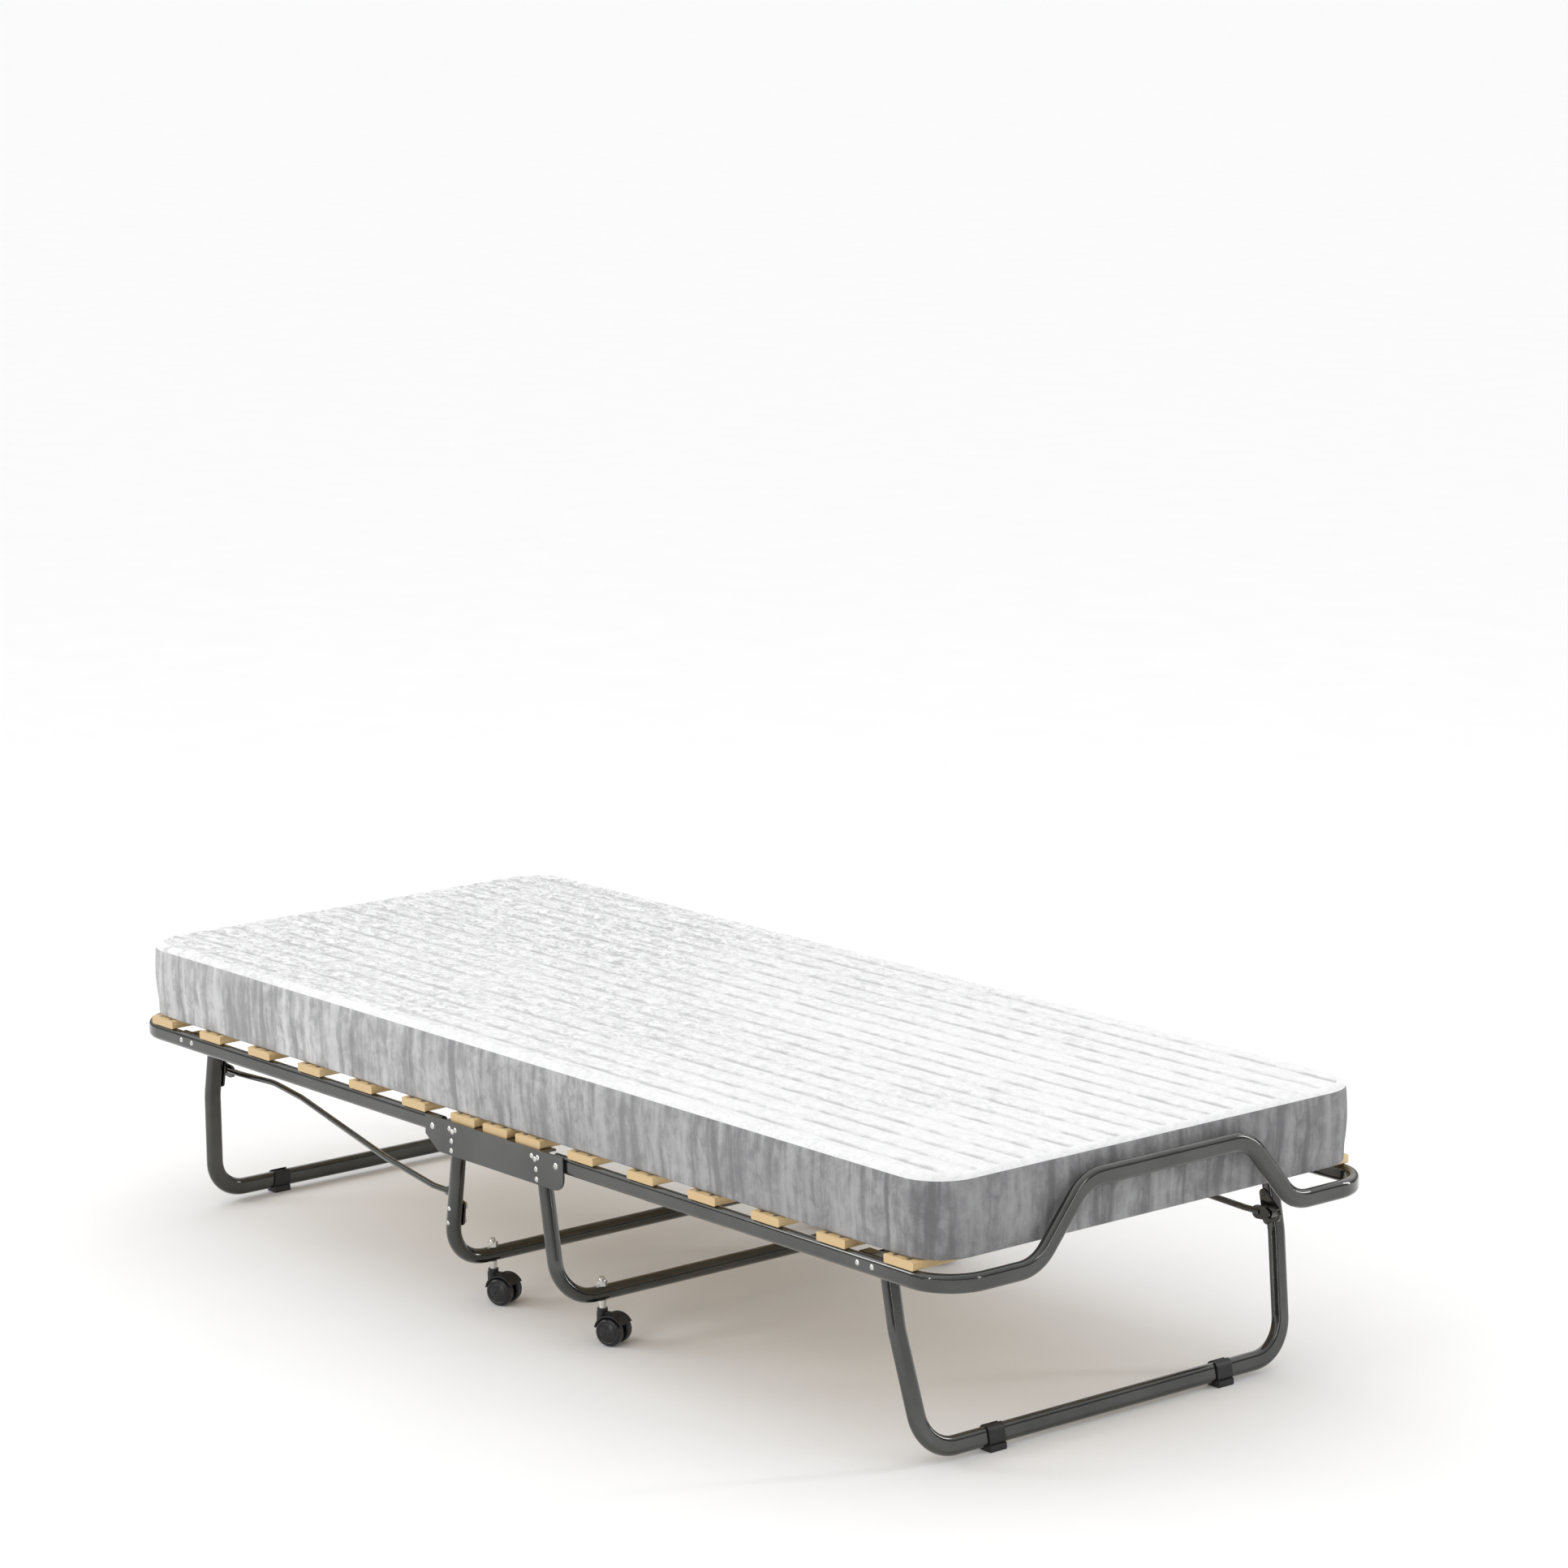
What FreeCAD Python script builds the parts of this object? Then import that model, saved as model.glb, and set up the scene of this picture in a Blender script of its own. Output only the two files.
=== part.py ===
"""Folding rollaway guest bed with its mattress.

Frame: origin on the floor under the middle of the bed, +X towards the foot end,
+Y towards the back side, +Z up. Millimetres. The bed is open, its stored pose.

A centre section on four castors carries two half frames. Each half folds straight up
about a pair of rivets in the side plates, and its end leg is swung parallel by a link
rod. The rod is on the front side of the head half and on the back side of the foot half,
so nearly everything is made once for the foot half and turned half a turn about Z.
"""
import FreeCAD
import Part
import math
import os

from FreeCAD import Vector as V

os.makedirs("parts", exist_ok=True)

# ---- driving dimensions -------------------------------------------------------------
HALF_LENGTH = 966.0        # middle of the bed to the outer face of an end bow
HALF_WIDTH = 392.0         # middle of the bed to the outer face of a side rail
RAIL_TOP = 290.0           # the slats lie on this height
TUBE_W, TUBE_H = 15.0, 26.0      # flat-oval frame tube, as it stands in the rails
WALL = 1.5                 # wall of every tube
CORNER_R = 72.0            # plan corner of the frame, outer face

PIVOT_X = 148.0            # fold rivets, from the middle
PIVOT_Z = 275.0
RAIL_START_X = 136.0       # inner end of a rail, past its rivet

HUMP_RISE = 101.0          # mattress stop: lift of the end bow
HUMP_BEND_R = 60.0
HUMP_ANGLE = 50.0
HUMP_FLAT = 118.0          # half length of the level top of the hump

SLAT_W, SLAT_T = 58.0, 12.0
SLAT_FIRST, SLAT_PITCH, SLATS = 199.8, 135.0, 6
CENTRE_PITCH = 78.0
SLAT_EDGE_R = 2.0
SCREW_R = 2.0
SCREW_HEAD_R = 4.0

PLATE_T = 3.0
PLATE_IN = HALF_WIDTH + 1.0      # inner face of a side plate
PLATE_BOTTOM = 240.0
PLATE_HALF = 165.0
FLANGE_HALF = 118.0
FLANGE_IN = 372.0
RIVET_R = 2.4
RIVET_HEAD_R = 4.0
RIVET_HEAD_T = 1.8

LEG_TUBE_R = 11.0          # round castor-leg tube
LEG_Y = 381.5              # centre line of its uprights
LEG_TOP = (97.0, 284.0)    # X and Z of its upper end
LEG_BAR = (131.0, 72.0)    # X and Z of its crossbar
LEG_BEND_R = 60.0

CASTOR_X, CASTOR_Y = 131.0, 307.0
CASTOR_YAW = 22.0          # direction in which the wheels trail at rest
WHEEL_R = 20.0
WHEEL_IN, WHEEL_OUT = 5.0, 21.0
TRAIL = 18.0
STEM_R = 4.0
AXLE_R = 2.5
HOUSING_TOP = 50.0
RUNNING = 0.05             # radial play of every pin

END_PIVOT = (797.0, 275.0)       # X and Z of an end leg's bolts
END_LEAN = 10.6            # degrees outwards, open
END_LEAN_FOLDED = 4.0      # and folded
END_TUBE_W, END_TUBE_H = 15.0, 27.0
END_Y = 344.0              # centre line of its uprights at the top
END_STRAIGHT = 85.0        # below the bolts, before the uprights draw together
END_TAPER = 6.5            # degrees
END_TAPER_R = 120.0
END_BEND_R = 58.0
END_GROUND = 5.0           # crossbar's clearance under the tube
END_STUB = 12.0            # tube above the bolts
FOOT_Y = 207.0
BOLT_R = 4.0

EAR_ALONG, EAR_OUT = 62.0, 20.0  # link pin from the leg's bolt, along and off the tube
ROD_ROOT_X = 136.0         # X of the rod's inner pivot
ROD_R = 4.5
ROD_OUTER_Y = 311.5        # plane of the rod's slotted end
ROD_INNER_Y = 365.0        # plane of its inner eye
EYE_T = 4.0
PIN_R = 3.0
SLOT_TRAVEL = 16.5         # lost motion of the open pivot
SLOT_HALF_W = 5.8

LATCH_PIVOT_Y = -65.0
LATCH_LENGTH = 158.0
LATCH_T = 3.0
LATCH_R = 10.0
STUD_R = 3.0

MATTRESS_HALF_L, MATTRESS_HALF_W = 941.0, 386.0
MATTRESS_Z0, MATTRESS_Z1 = 302.5, 414.0
MATTRESS_FOLD = 200.0      # the middle part takes the folds
MATTRESS_CORNER_R = 62.0

# ---- worked-out dimensions ----------------------------------------------------------
RAIL_Y = HALF_WIDTH - TUBE_W / 2
RAIL_Z = RAIL_TOP - TUBE_H / 2
BOW_X = HALF_LENGTH - TUBE_W / 2
CORNER_C = CORNER_R - TUBE_W / 2
X_AXIS, Y_AXIS, Z_AXIS = V(1, 0, 0), V(0, 1, 0), V(0, 0, 1)
ORIGIN = V(0, 0, 0)


def half_turn(shape):
    """The same piece on the other end of the bed: half a turn about Z."""
    return shape.rotated(ORIGIN, Z_AXIS, 180)


def mirror_y(shape):
    return shape.mirror(ORIGIN, Y_AXIS)


def mirror_x(shape):
    return shape.mirror(ORIGIN, X_AXIS)


def write(name, *shapes):
    """Write one node: one solid, or a group of separate solids."""
    solids = []
    for shape in shapes:
        solids.extend(shape.Solids)
    body = solids[0] if len(solids) == 1 else Part.makeCompound(solids)
    if not body.isValid():
        print("not valid:", name)
    body.exportStep("parts/" + name + ".step")


def rod_y(x, z, radius, y0, y1):
    """A round bar along Y."""
    return Part.makeCylinder(radius, y1 - y0, V(x, y0, z), Y_AXIS)


def box(x0, x1, y0, y1, z0, z1):
    return Part.makeBox(x1 - x0, y1 - y0, z1 - z0, V(x0, y0, z0))


def strap(p, q, radius, y0, y1):
    """A flat bar in the XZ plane with round ends at p and q, from y0 to y1."""
    a = V(p[0], y0, p[1])
    b = V(q[0], y0, q[1])
    run = b - a
    side = run.cross(Y_AXIS).normalize() * radius
    wire = Part.makePolygon([a + side, b + side, b - side, a - side, a + side])
    bar = Part.Face(wire).extrude(V(0, y1 - y0, 0))
    ends = [rod_y(p[0], p[1], radius, y0, y1), rod_y(q[0], q[1], radius, y0, y1)]
    return bar.fuse(ends).removeSplitter()


def oval_wire(width, height, at, across, tall):
    """A flat-oval outline: two straight sides joined by half circles."""
    r = width / 2
    s = height / 2 - r
    corners = [at + across * r + tall * s, at - across * r + tall * s,
               at - across * r - tall * s, at + across * r - tall * s]
    top = Part.Arc(corners[0], at + tall * (s + r), corners[1]).toShape()
    left = Part.LineSegment(corners[1], corners[2]).toShape()
    low = Part.Arc(corners[2], at - tall * (s + r), corners[3]).toShape()
    right = Part.LineSegment(corners[3], corners[0]).toShape()
    return Part.Wire([top, left, low, right])


def ring_face(outer, inner):
    return Part.Face(outer).cut(Part.Face(inner)).Faces[0]


def oval_tube_face(width, height, at, across, tall):
    outer = oval_wire(width, height, at, across, tall)
    inner = oval_wire(width - 2 * WALL, height - 2 * WALL, at, across, tall)
    return ring_face(outer, inner)


def round_tube_face(radius, at, normal):
    outer = Part.Wire(Part.makeCircle(radius, at, normal))
    inner = Part.Wire(Part.makeCircle(radius - WALL, at, normal))
    return ring_face(outer, inner)


class Tube:
    """A bent tube, made as a bending machine makes it: straight runs and bends."""

    def __init__(self, face, at, heading):
        self.face = face
        self.at = at
        self.heading = heading.normalize()
        self.pieces = []

    def straight(self, length):
        step = self.heading * length
        self.pieces.append(self.face.extrude(step))
        self.face = self.face.translated(step)
        self.at = self.at + step

    def bend(self, radius, angle, axis):
        side = axis.cross(self.heading) * math.copysign(radius, angle)
        centre = self.at + side
        self.pieces.append(self.face.revolve(centre, axis, angle))
        self.face = self.face.rotated(centre, axis, angle)
        turn = FreeCAD.Rotation(axis, angle)
        self.at = centre + turn.multVec(side * -1)
        self.heading = turn.multVec(self.heading)

    def solid(self):
        body = self.pieces[0].fuse(self.pieces[1:])
        return body.removeSplitter().Solids[0]


# ---- frame of one half --------------------------------------------------------------
def frame_tube():
    """The foot half's frame: two rails, two plan corners and the humped end bow."""
    start = V(RAIL_START_X, -RAIL_Y, RAIL_Z)
    tube = Tube(oval_tube_face(TUBE_W, TUBE_H, start, Y_AXIS, Z_AXIS), start, V(1, 0, 0))
    tube.straight(HALF_LENGTH - CORNER_R - RAIL_START_X)
    tube.bend(CORNER_C, 90, Z_AXIS)
    arc_rise = 2 * HUMP_BEND_R * (1 - math.cos(math.radians(HUMP_ANGLE)))
    slope = (HUMP_RISE - arc_rise) / math.sin(math.radians(HUMP_ANGLE))
    run = slope * math.cos(math.radians(HUMP_ANGLE))
    run = run + 2 * HUMP_BEND_R * math.sin(math.radians(HUMP_ANGLE))
    low = HALF_WIDTH - CORNER_R - HUMP_FLAT - run
    tube.straight(low)
    tube.bend(HUMP_BEND_R, HUMP_ANGLE, X_AXIS)
    tube.straight(slope)
    tube.bend(HUMP_BEND_R, -HUMP_ANGLE, X_AXIS)
    tube.straight(2 * HUMP_FLAT)
    tube.bend(HUMP_BEND_R, -HUMP_ANGLE, X_AXIS)
    tube.straight(slope)
    tube.bend(HUMP_BEND_R, HUMP_ANGLE, X_AXIS)
    tube.straight(low)
    tube.bend(CORNER_C, 90, Z_AXIS)
    tube.straight(HALF_LENGTH - CORNER_R - RAIL_START_X)
    body = tube.solid()
    reach = HALF_WIDTH + 10
    holes = [rod_y(PIVOT_X, PIVOT_Z, BOLT_R + RUNNING, -reach, reach)]
    for x in BRACKET_RIVET_X:
        holes.append(rod_y(x, BRACKET_RIVET_Z, RIVET_R, -reach, reach))
    return body.cut(Part.makeCompound(holes))


def slat(x):
    """A slat across the bed, its long edges eased."""
    body = box(x - SLAT_W / 2, x + SLAT_W / 2, -HALF_WIDTH, HALF_WIDTH,
               RAIL_TOP, RAIL_TOP + SLAT_T)
    long_edges = [e for e in body.Edges if abs(e.tangentAt(e.FirstParameter).y) > 0.9]
    body = body.makeFillet(SLAT_EDGE_R, long_edges)
    for x_screw, y_screw in slat_screw_places(x):
        body = body.cut(screw(x_screw, y_screw))
    return body


def slat_screw_places(x):
    return [(x + dx, y) for y in (-RAIL_Y, RAIL_Y) for dx in (-14.0, 14.0)]


def screw(x, y):
    """A countersunk screw, flush in the slat and biting into the rail's top wall."""
    head = Part.makeCone(SCREW_R, SCREW_HEAD_R, 3.0, V(x, y, RAIL_TOP + SLAT_T - 3.0))
    shank = Part.makeCylinder(SCREW_R, SLAT_T - 3.0, V(x, y, RAIL_TOP))
    return head.fuse(shank)


# ---- side plates and castor legs ----------------------------------------------------
def plate_rivet_places():
    """X and Z of the rivets that hold one castor leg's tube to a plate."""
    x0 = 99.0
    return [(x0 - 7.0, 279.0), (x0, 275.5), (x0 + 7.0, 279.0),
            (x0 + 2.5, 261.5), (x0 + 3.5, 247.0)]


def side_plate():
    """The front plate: clipped at the head end, rounded at the foot end."""
    y0 = -PLATE_IN - PLATE_T
    left, right = -PLATE_HALF, PLATE_HALF
    round_r = 20.0
    clip_x, clip_z = 31.0, 21.0
    pts = [V(left, y0, RAIL_TOP), V(left, y0, PLATE_BOTTOM + clip_z),
           V(left + clip_x, y0, PLATE_BOTTOM), V(right - round_r, y0, PLATE_BOTTOM),
           V(right, y0, PLATE_BOTTOM + round_r), V(right, y0, RAIL_TOP)]
    edges = [Part.LineSegment(pts[i], pts[i + 1]).toShape() for i in (0, 1, 2, 4)]
    centre = V(right - round_r, y0, PLATE_BOTTOM + round_r)
    middle = centre + V(math.sqrt(0.5), 0, -math.sqrt(0.5)) * round_r
    edges.insert(3, Part.Arc(pts[3], middle, pts[4]).toShape())
    edges.append(Part.LineSegment(pts[5], pts[0]).toShape())
    web = Part.Face(Part.Wire(edges)).extrude(V(0, PLATE_T, 0))
    flange = box(-FLANGE_HALF, FLANGE_HALF, y0, -FLANGE_IN, RAIL_TOP - PLATE_T, RAIL_TOP)
    body = web.fuse(flange).removeSplitter()
    holes = [rod_y(s * PIVOT_X, PIVOT_Z, BOLT_R, y0 - 1, -PLATE_IN + 1) for s in (-1, 1)]
    for x, z in plate_rivet_places():
        for s in (-1, 1):
            holes.append(rod_y(s * x, z, RIVET_R, y0 - 1, -PLATE_IN + 1))
    return body.cut(Part.makeCompound(holes))


def plate_rivets():
    """Round-headed rivets through the front plate into both castor legs."""
    out = []
    face = -PLATE_IN - PLATE_T
    for s in (-1, 1):
        for x, z in plate_rivet_places():
            head = dome(s * x, z, face, RIVET_HEAD_R, RIVET_HEAD_T)
            out.append(head.fuse(rod_y(s * x, z, RIVET_R, face, -PLATE_IN + 3.5)))
    return out


def dome(x, z, y_face, radius, height):
    """A low round rivet head standing out of a face towards -Y."""
    ball = (radius ** 2 + height ** 2) / (2 * height)
    sphere = Part.makeSphere(ball, V(x, y_face - height + ball, z))
    keep = box(x - radius - 1, x + radius + 1, y_face - height - 1, y_face,
               z - radius - 1, z + radius + 1)
    return sphere.common(keep)


def castor_leg():
    """The foot-end castor leg: a round-tube U, leaning outwards, riveted to both plates."""
    top = V(LEG_TOP[0], -LEG_Y, LEG_TOP[1])
    down = V(LEG_BAR[0] - LEG_TOP[0], 0, LEG_BAR[1] - LEG_TOP[1])
    length = down.Length
    down.normalize()
    axis = down.cross(Y_AXIS)
    tube = Tube(round_tube_face(LEG_TUBE_R, top, down), top, V(down))
    tube.straight(length - LEG_BEND_R)
    tube.bend(LEG_BEND_R, 90, axis)
    tube.straight(2 * (LEG_Y - LEG_BEND_R))
    tube.bend(LEG_BEND_R, 90, axis)
    tube.straight(length - LEG_BEND_R)
    body = tube.solid()
    cuts = []
    for s in (-1, 1):
        cuts.append(Part.makeCylinder(STEM_R, 60, V(CASTOR_X, s * CASTOR_Y, 40)))
    for x, z in plate_rivet_places():
        cuts.append(rod_y(x, z, RIVET_R, -PLATE_IN - 1, -PLATE_IN + 3.5))
        cuts.append(rod_y(x, z, RIVET_R, PLATE_IN - 3.5, PLATE_IN + 1))
    for x, z in LINK_BRACKET_RIVETS:
        cuts.append(rod_y(x, z, RIVET_R, 350, 400))
    return body.cut(Part.makeCompound(cuts))


def leg_x(z):
    """X of the castor leg's centre line at height z."""
    share = (z - LEG_BAR[1]) / (LEG_TOP[1] - LEG_BAR[1])
    return LEG_BAR[0] + (LEG_TOP[0] - LEG_BAR[0]) * share


# ---- link geometry ------------------------------------------------------------------
def on_leg(bolt, lean, along, out):
    """A point of the end leg, given from its bolt along the tube and outwards off it."""
    a = math.radians(lean)
    x = bolt[0] + along * math.sin(a) + out * math.cos(a)
    z = bolt[1] - along * math.cos(a) + out * math.sin(a)
    return x, z


def rod_root():
    """Height of the rod's inner pivot that suits both the open and the folded bed."""
    pin_open = on_leg(END_PIVOT, END_LEAN, EAR_ALONG, EAR_OUT)
    folded_bolt = (PIVOT_X, PIVOT_Z + END_PIVOT[0] - PIVOT_X)
    pin_folded = on_leg(folded_bolt, END_LEAN_FOLDED, EAR_ALONG, EAR_OUT)
    mid_x = (pin_open[0] + pin_folded[0]) / 2
    mid_z = (pin_open[1] + pin_folded[1]) / 2
    slope = (pin_open[0] - pin_folded[0]) / (pin_folded[1] - pin_open[1])
    root = (ROD_ROOT_X, mid_z - (mid_x - ROD_ROOT_X) * slope)
    angle_open = math.degrees(math.atan2(pin_open[1] - root[1], pin_open[0] - root[0]))
    angle_folded = math.degrees(math.atan2(pin_folded[1] - root[1], pin_folded[0] - root[0]))
    return root, pin_open, angle_open, angle_folded


ROOT, LINK_PIN, ROD_OPEN, ROD_FOLDED = rod_root()
LINK_BRACKET_RIVETS = [(leg_x(136.0), 136.0), (leg_x(158.0), 158.0)]
BRACKET_RIVET_X = (793.0, 822.0)
BRACKET_RIVET_Z = 278.0
print("rod pivot", ROOT, "link pin", LINK_PIN)
print("leg ratio", -(90 + END_LEAN - END_LEAN_FOLDED) / 90, "rod ratio", (ROD_FOLDED - ROD_OPEN) / 90)


def link_bracket():
    """Foot half, back side: a strap riveted inside the castor leg, carrying the rod."""
    y0, y1 = LEG_Y - LEG_TUBE_R - PLATE_T, LEG_Y - LEG_TUBE_R
    low, high = LINK_BRACKET_RIVETS
    body = strap(low, high, 8.0, y0, y1).fuse(strap(high, ROOT, 8.0, y0, y1))
    body = body.removeSplitter()
    for x, z in LINK_BRACKET_RIVETS:
        body = body.cut(rod_y(x, z, RIVET_R, y0 - 1, y1 + 1))
    return body.cut(rod_y(ROOT[0], ROOT[1], BOLT_R, y0 - 1, y1 + 1))


def link_bracket_rivets(leg):
    """Two rivets through the castor leg, with a collar on the bracket."""
    out = []
    inner = LEG_Y - LEG_TUBE_R - PLATE_T
    outer = LEG_Y + LEG_TUBE_R
    for x, z in LINK_BRACKET_RIVETS:
        shank = rod_y(x, z, RIVET_R, inner, outer - 1.0)
        head = mirror_y(dome(x, z, -(outer - 1.0), RIVET_HEAD_R, 2.2))
        collar = rod_y(x, z, 5.5, inner - 4.5, inner)
        out.append(shank.fuse([head, collar]).cut(leg))
    return out


def hex_nut(x, z, across, y0, y1):
    """A hexagon along Y."""
    r = across / math.sqrt(3)
    pts = [V(x + r * math.cos(math.radians(60 * k)), y0, z + r * math.sin(math.radians(60 * k)))
           for k in range(7)]
    return Part.Face(Part.makePolygon(pts)).extrude(V(0, y1 - y0, 0))


def link_pivot_bolt():
    """The bolt that the rod's inner eye turns on."""
    x, z = ROOT
    plate_out = LEG_Y - LEG_TUBE_R
    eye_in = ROD_INNER_Y - EYE_T / 2
    shank = rod_y(x, z, BOLT_R, eye_in - 0.5, plate_out)
    head = hex_nut(x, z, 12.0, eye_in - 5.0, eye_in - 0.5)
    tail = rod_y(x, z, 5.5, plate_out, plate_out + 2.5)
    return shank.fuse([head, tail])


def link_rod():
    """Foot half, back side: a bent round bar with a flat eye and a flat slotted end."""
    pin = V(LINK_PIN[0], ROD_OUTER_Y, LINK_PIN[1])
    root = V(ROOT[0], ROD_INNER_Y, ROOT[1])
    a = math.radians(ROD_OPEN)
    along = V(math.cos(a), 0, math.sin(a))
    off = V(-math.sin(a), 0, math.cos(a))

    def point(s, rise, y):
        p = V(root.x, y, root.z) + along * s + off * rise
        return p

    length = math.hypot(pin.x - root.x, pin.z - root.z)
    route = [point(0, 0, ROD_INNER_Y), point(58, -3.0, ROD_INNER_Y),
             point(190, 0.5, 355.0), point(470, 13.5, 319.0),
             point(555, 13.0, ROD_OUTER_Y), point(650, 2.5, ROD_OUTER_Y),
             point(length, 0, ROD_OUTER_Y)]
    radii = [40.0, 200.0, 260.0, 150.0, 60.0]
    bar = round_bar(route, radii, ROD_R)
    eye = rod_y(root.x, root.z, 9.0, ROD_INNER_Y - EYE_T / 2, ROD_INNER_Y + EYE_T / 2)
    neck = point(22, -1.0, ROD_INNER_Y)
    eye = eye.fuse(strap((root.x, root.z), (neck.x, neck.z), 6.0,
                         ROD_INNER_Y - EYE_T / 2, ROD_INNER_Y + EYE_T / 2))
    far = point(length + SLOT_TRAVEL, 0, ROD_OUTER_Y)
    near = point(length - 18, 0, ROD_OUTER_Y)
    y0, y1 = ROD_OUTER_Y - EYE_T / 2, ROD_OUTER_Y + EYE_T / 2
    blade = strap((near.x, near.z), (far.x, far.z), 9.5, y0, y1)
    keep_in = point(13.0, 0, ROD_INNER_Y)
    keep_out = point(length - 13.0, 0, ROD_OUTER_Y)
    bar = bar.cut(rod_y(root.x, root.z, (keep_in - V(root.x, ROD_INNER_Y, root.z)).Length,
                        ROD_INNER_Y - 20, ROD_INNER_Y + 20))
    bar = bar.cut(strap((keep_out.x + 13, keep_out.z + 0.9), (far.x, far.z), 13.0,
                        ROD_OUTER_Y - 20, ROD_OUTER_Y + 20))
    body = bar.fuse([eye, blade]).removeSplitter()
    body = body.cut(rod_y(root.x, root.z, BOLT_R + RUNNING, ROD_INNER_Y - 9, ROD_INNER_Y + 9))
    slot = strap((pin.x, pin.z), (far.x, far.z), SLOT_HALF_W, y0 - 9, y1 + 9)
    return body.cut(slot)


def round_bar(route, radii, radius):
    """A round bar along a route of straight runs joined by arcs of the given radii."""
    edges = []
    at = route[0]
    for corner, after, bend_r in zip(route[1:-1], route[2:], radii):
        before = (at - corner).normalize()
        ahead = (after - corner).normalize()
        half = before.getAngle(ahead) / 2
        back = bend_r / math.tan(half)
        start = corner + before * back
        end = corner + ahead * back
        inward = (before + ahead).normalize()
        centre = corner + inward * (bend_r / math.sin(half))
        middle = centre - inward * bend_r
        edges.append(Part.LineSegment(at, start).toShape())
        edges.append(Part.Arc(start, middle, end).toShape())
        at = end
    edges.append(Part.LineSegment(at, route[-1]).toShape())
    path = Part.Wire(edges)
    heading = (route[1] - route[0]).normalize()
    section = Part.Wire(Part.makeCircle(radius, route[0], heading))
    body = path.makePipeShell([section], True, False)
    print("rod bar: volume over section times length",
          round(body.Volume / (math.pi * radius ** 2 * path.Length), 4))
    return body


# ---- end legs -----------------------------------------------------------------------
def end_leg():
    """The foot-end leg: a flat-oval U leaning outwards, hung from two bolts."""
    a = math.radians(END_LEAN)
    down = V(math.sin(a), 0, -math.cos(a))
    out = V(math.cos(a), 0, math.sin(a))
    axis = down.cross(Y_AXIS)
    bolt = V(END_PIVOT[0], -END_Y, END_PIVOT[1])
    top = bolt - down * END_STUB
    low_z = END_GROUND + END_TUBE_H / 2 * math.cos(a) + END_TUBE_W / 2 * math.sin(a)
    drop = (END_PIVOT[1] - low_z) / math.cos(a)
    face = oval_tube_face(END_TUBE_W, END_TUBE_H, top, out, Y_AXIS)
    tube = Tube(face, top, V(down))
    taper = math.radians(END_TAPER)
    drop_1 = END_TAPER_R * math.sin(taper)
    in_1 = END_TAPER_R * (1 - math.cos(taper))
    drop_3 = END_BEND_R * (1 - math.sin(taper))
    in_3 = END_BEND_R * math.cos(taper)
    slope = (drop - END_STRAIGHT - drop_1 - drop_3) / math.cos(taper)
    in_2 = slope * math.sin(taper)
    level = 2 * (END_Y - in_1 - in_2 - in_3)
    tube.straight(END_STUB + END_STRAIGHT)
    tube.bend(END_TAPER_R, END_TAPER, axis)
    tube.straight(slope)
    tube.bend(END_BEND_R, 90 - END_TAPER, axis)
    tube.straight(level)
    tube.bend(END_BEND_R, 90 - END_TAPER, axis)
    tube.straight(slope)
    tube.bend(END_TAPER_R, END_TAPER, axis)
    tube.straight(END_STUB + END_STRAIGHT)
    body = tube.solid()
    x, z = END_PIVOT
    body = body.cut(rod_y(x, z, BOLT_R, -400, 400))
    for x, z in ear_rivet_places():
        body = body.cut(rod_y(x, z, RIVET_R, 300, 340))
    return body, V(END_PIVOT[0], 0, END_PIVOT[1]) + down * drop, down, out


def ear_rivet_places():
    return [on_leg(END_PIVOT, END_LEAN, along, 0) for along in (38.0, 74.0)]


def link_ear():
    """Foot half, back side: a plate on the leg's inner face that carries the link pin."""
    y1 = END_Y - END_TUBE_H / 2
    y0 = y1 - PLATE_T
    low, high = ear_rivet_places()
    body = strap(low, high, 7.0, y0, y1)
    body = body.fuse([strap(low, LINK_PIN, 7.0, y0, y1), strap(high, LINK_PIN, 7.0, y0, y1)])
    body = body.removeSplitter()
    for x, z in ear_rivet_places():
        body = body.cut(rod_y(x, z, RIVET_R, y0 - 1, y1 + 1))
    return body.cut(rod_y(LINK_PIN[0], LINK_PIN[1], PIN_R, y0 - 1, y1 + 1))


def link_pin():
    """The shouldered pin in the ear, with a wide head outside the slotted end."""
    x, z = LINK_PIN
    ear_in = END_Y - END_TUBE_H / 2 - PLATE_T
    slot_in = ROD_OUTER_Y - EYE_T / 2
    slot_out = ROD_OUTER_Y + EYE_T / 2
    shoulder = rod_y(x, z, 7.5, slot_out + 0.6, ear_in)
    shank = rod_y(x, z, PIN_R, slot_in - 0.6, ear_in + PLATE_T)
    head = rod_y(x, z, 8.5, slot_in - 3.1, slot_in - 0.6)
    return shoulder.fuse([shank, head])


def ear_rivets():
    out = []
    y1 = END_Y - END_TUBE_H / 2
    for x, z in ear_rivet_places():
        head = mirror_y(mirror_dome(x, z, y1 - PLATE_T))
        out.append(head.fuse(rod_y(x, z, RIVET_R, y1 - PLATE_T, y1 + WALL)))
    return out


def mirror_dome(x, z, y_face):
    """A rivet head that stands out towards the middle of the bed on the front side."""
    return mirror_y(dome(x, z, y_face, RIVET_HEAD_R, RIVET_HEAD_T))


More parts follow.
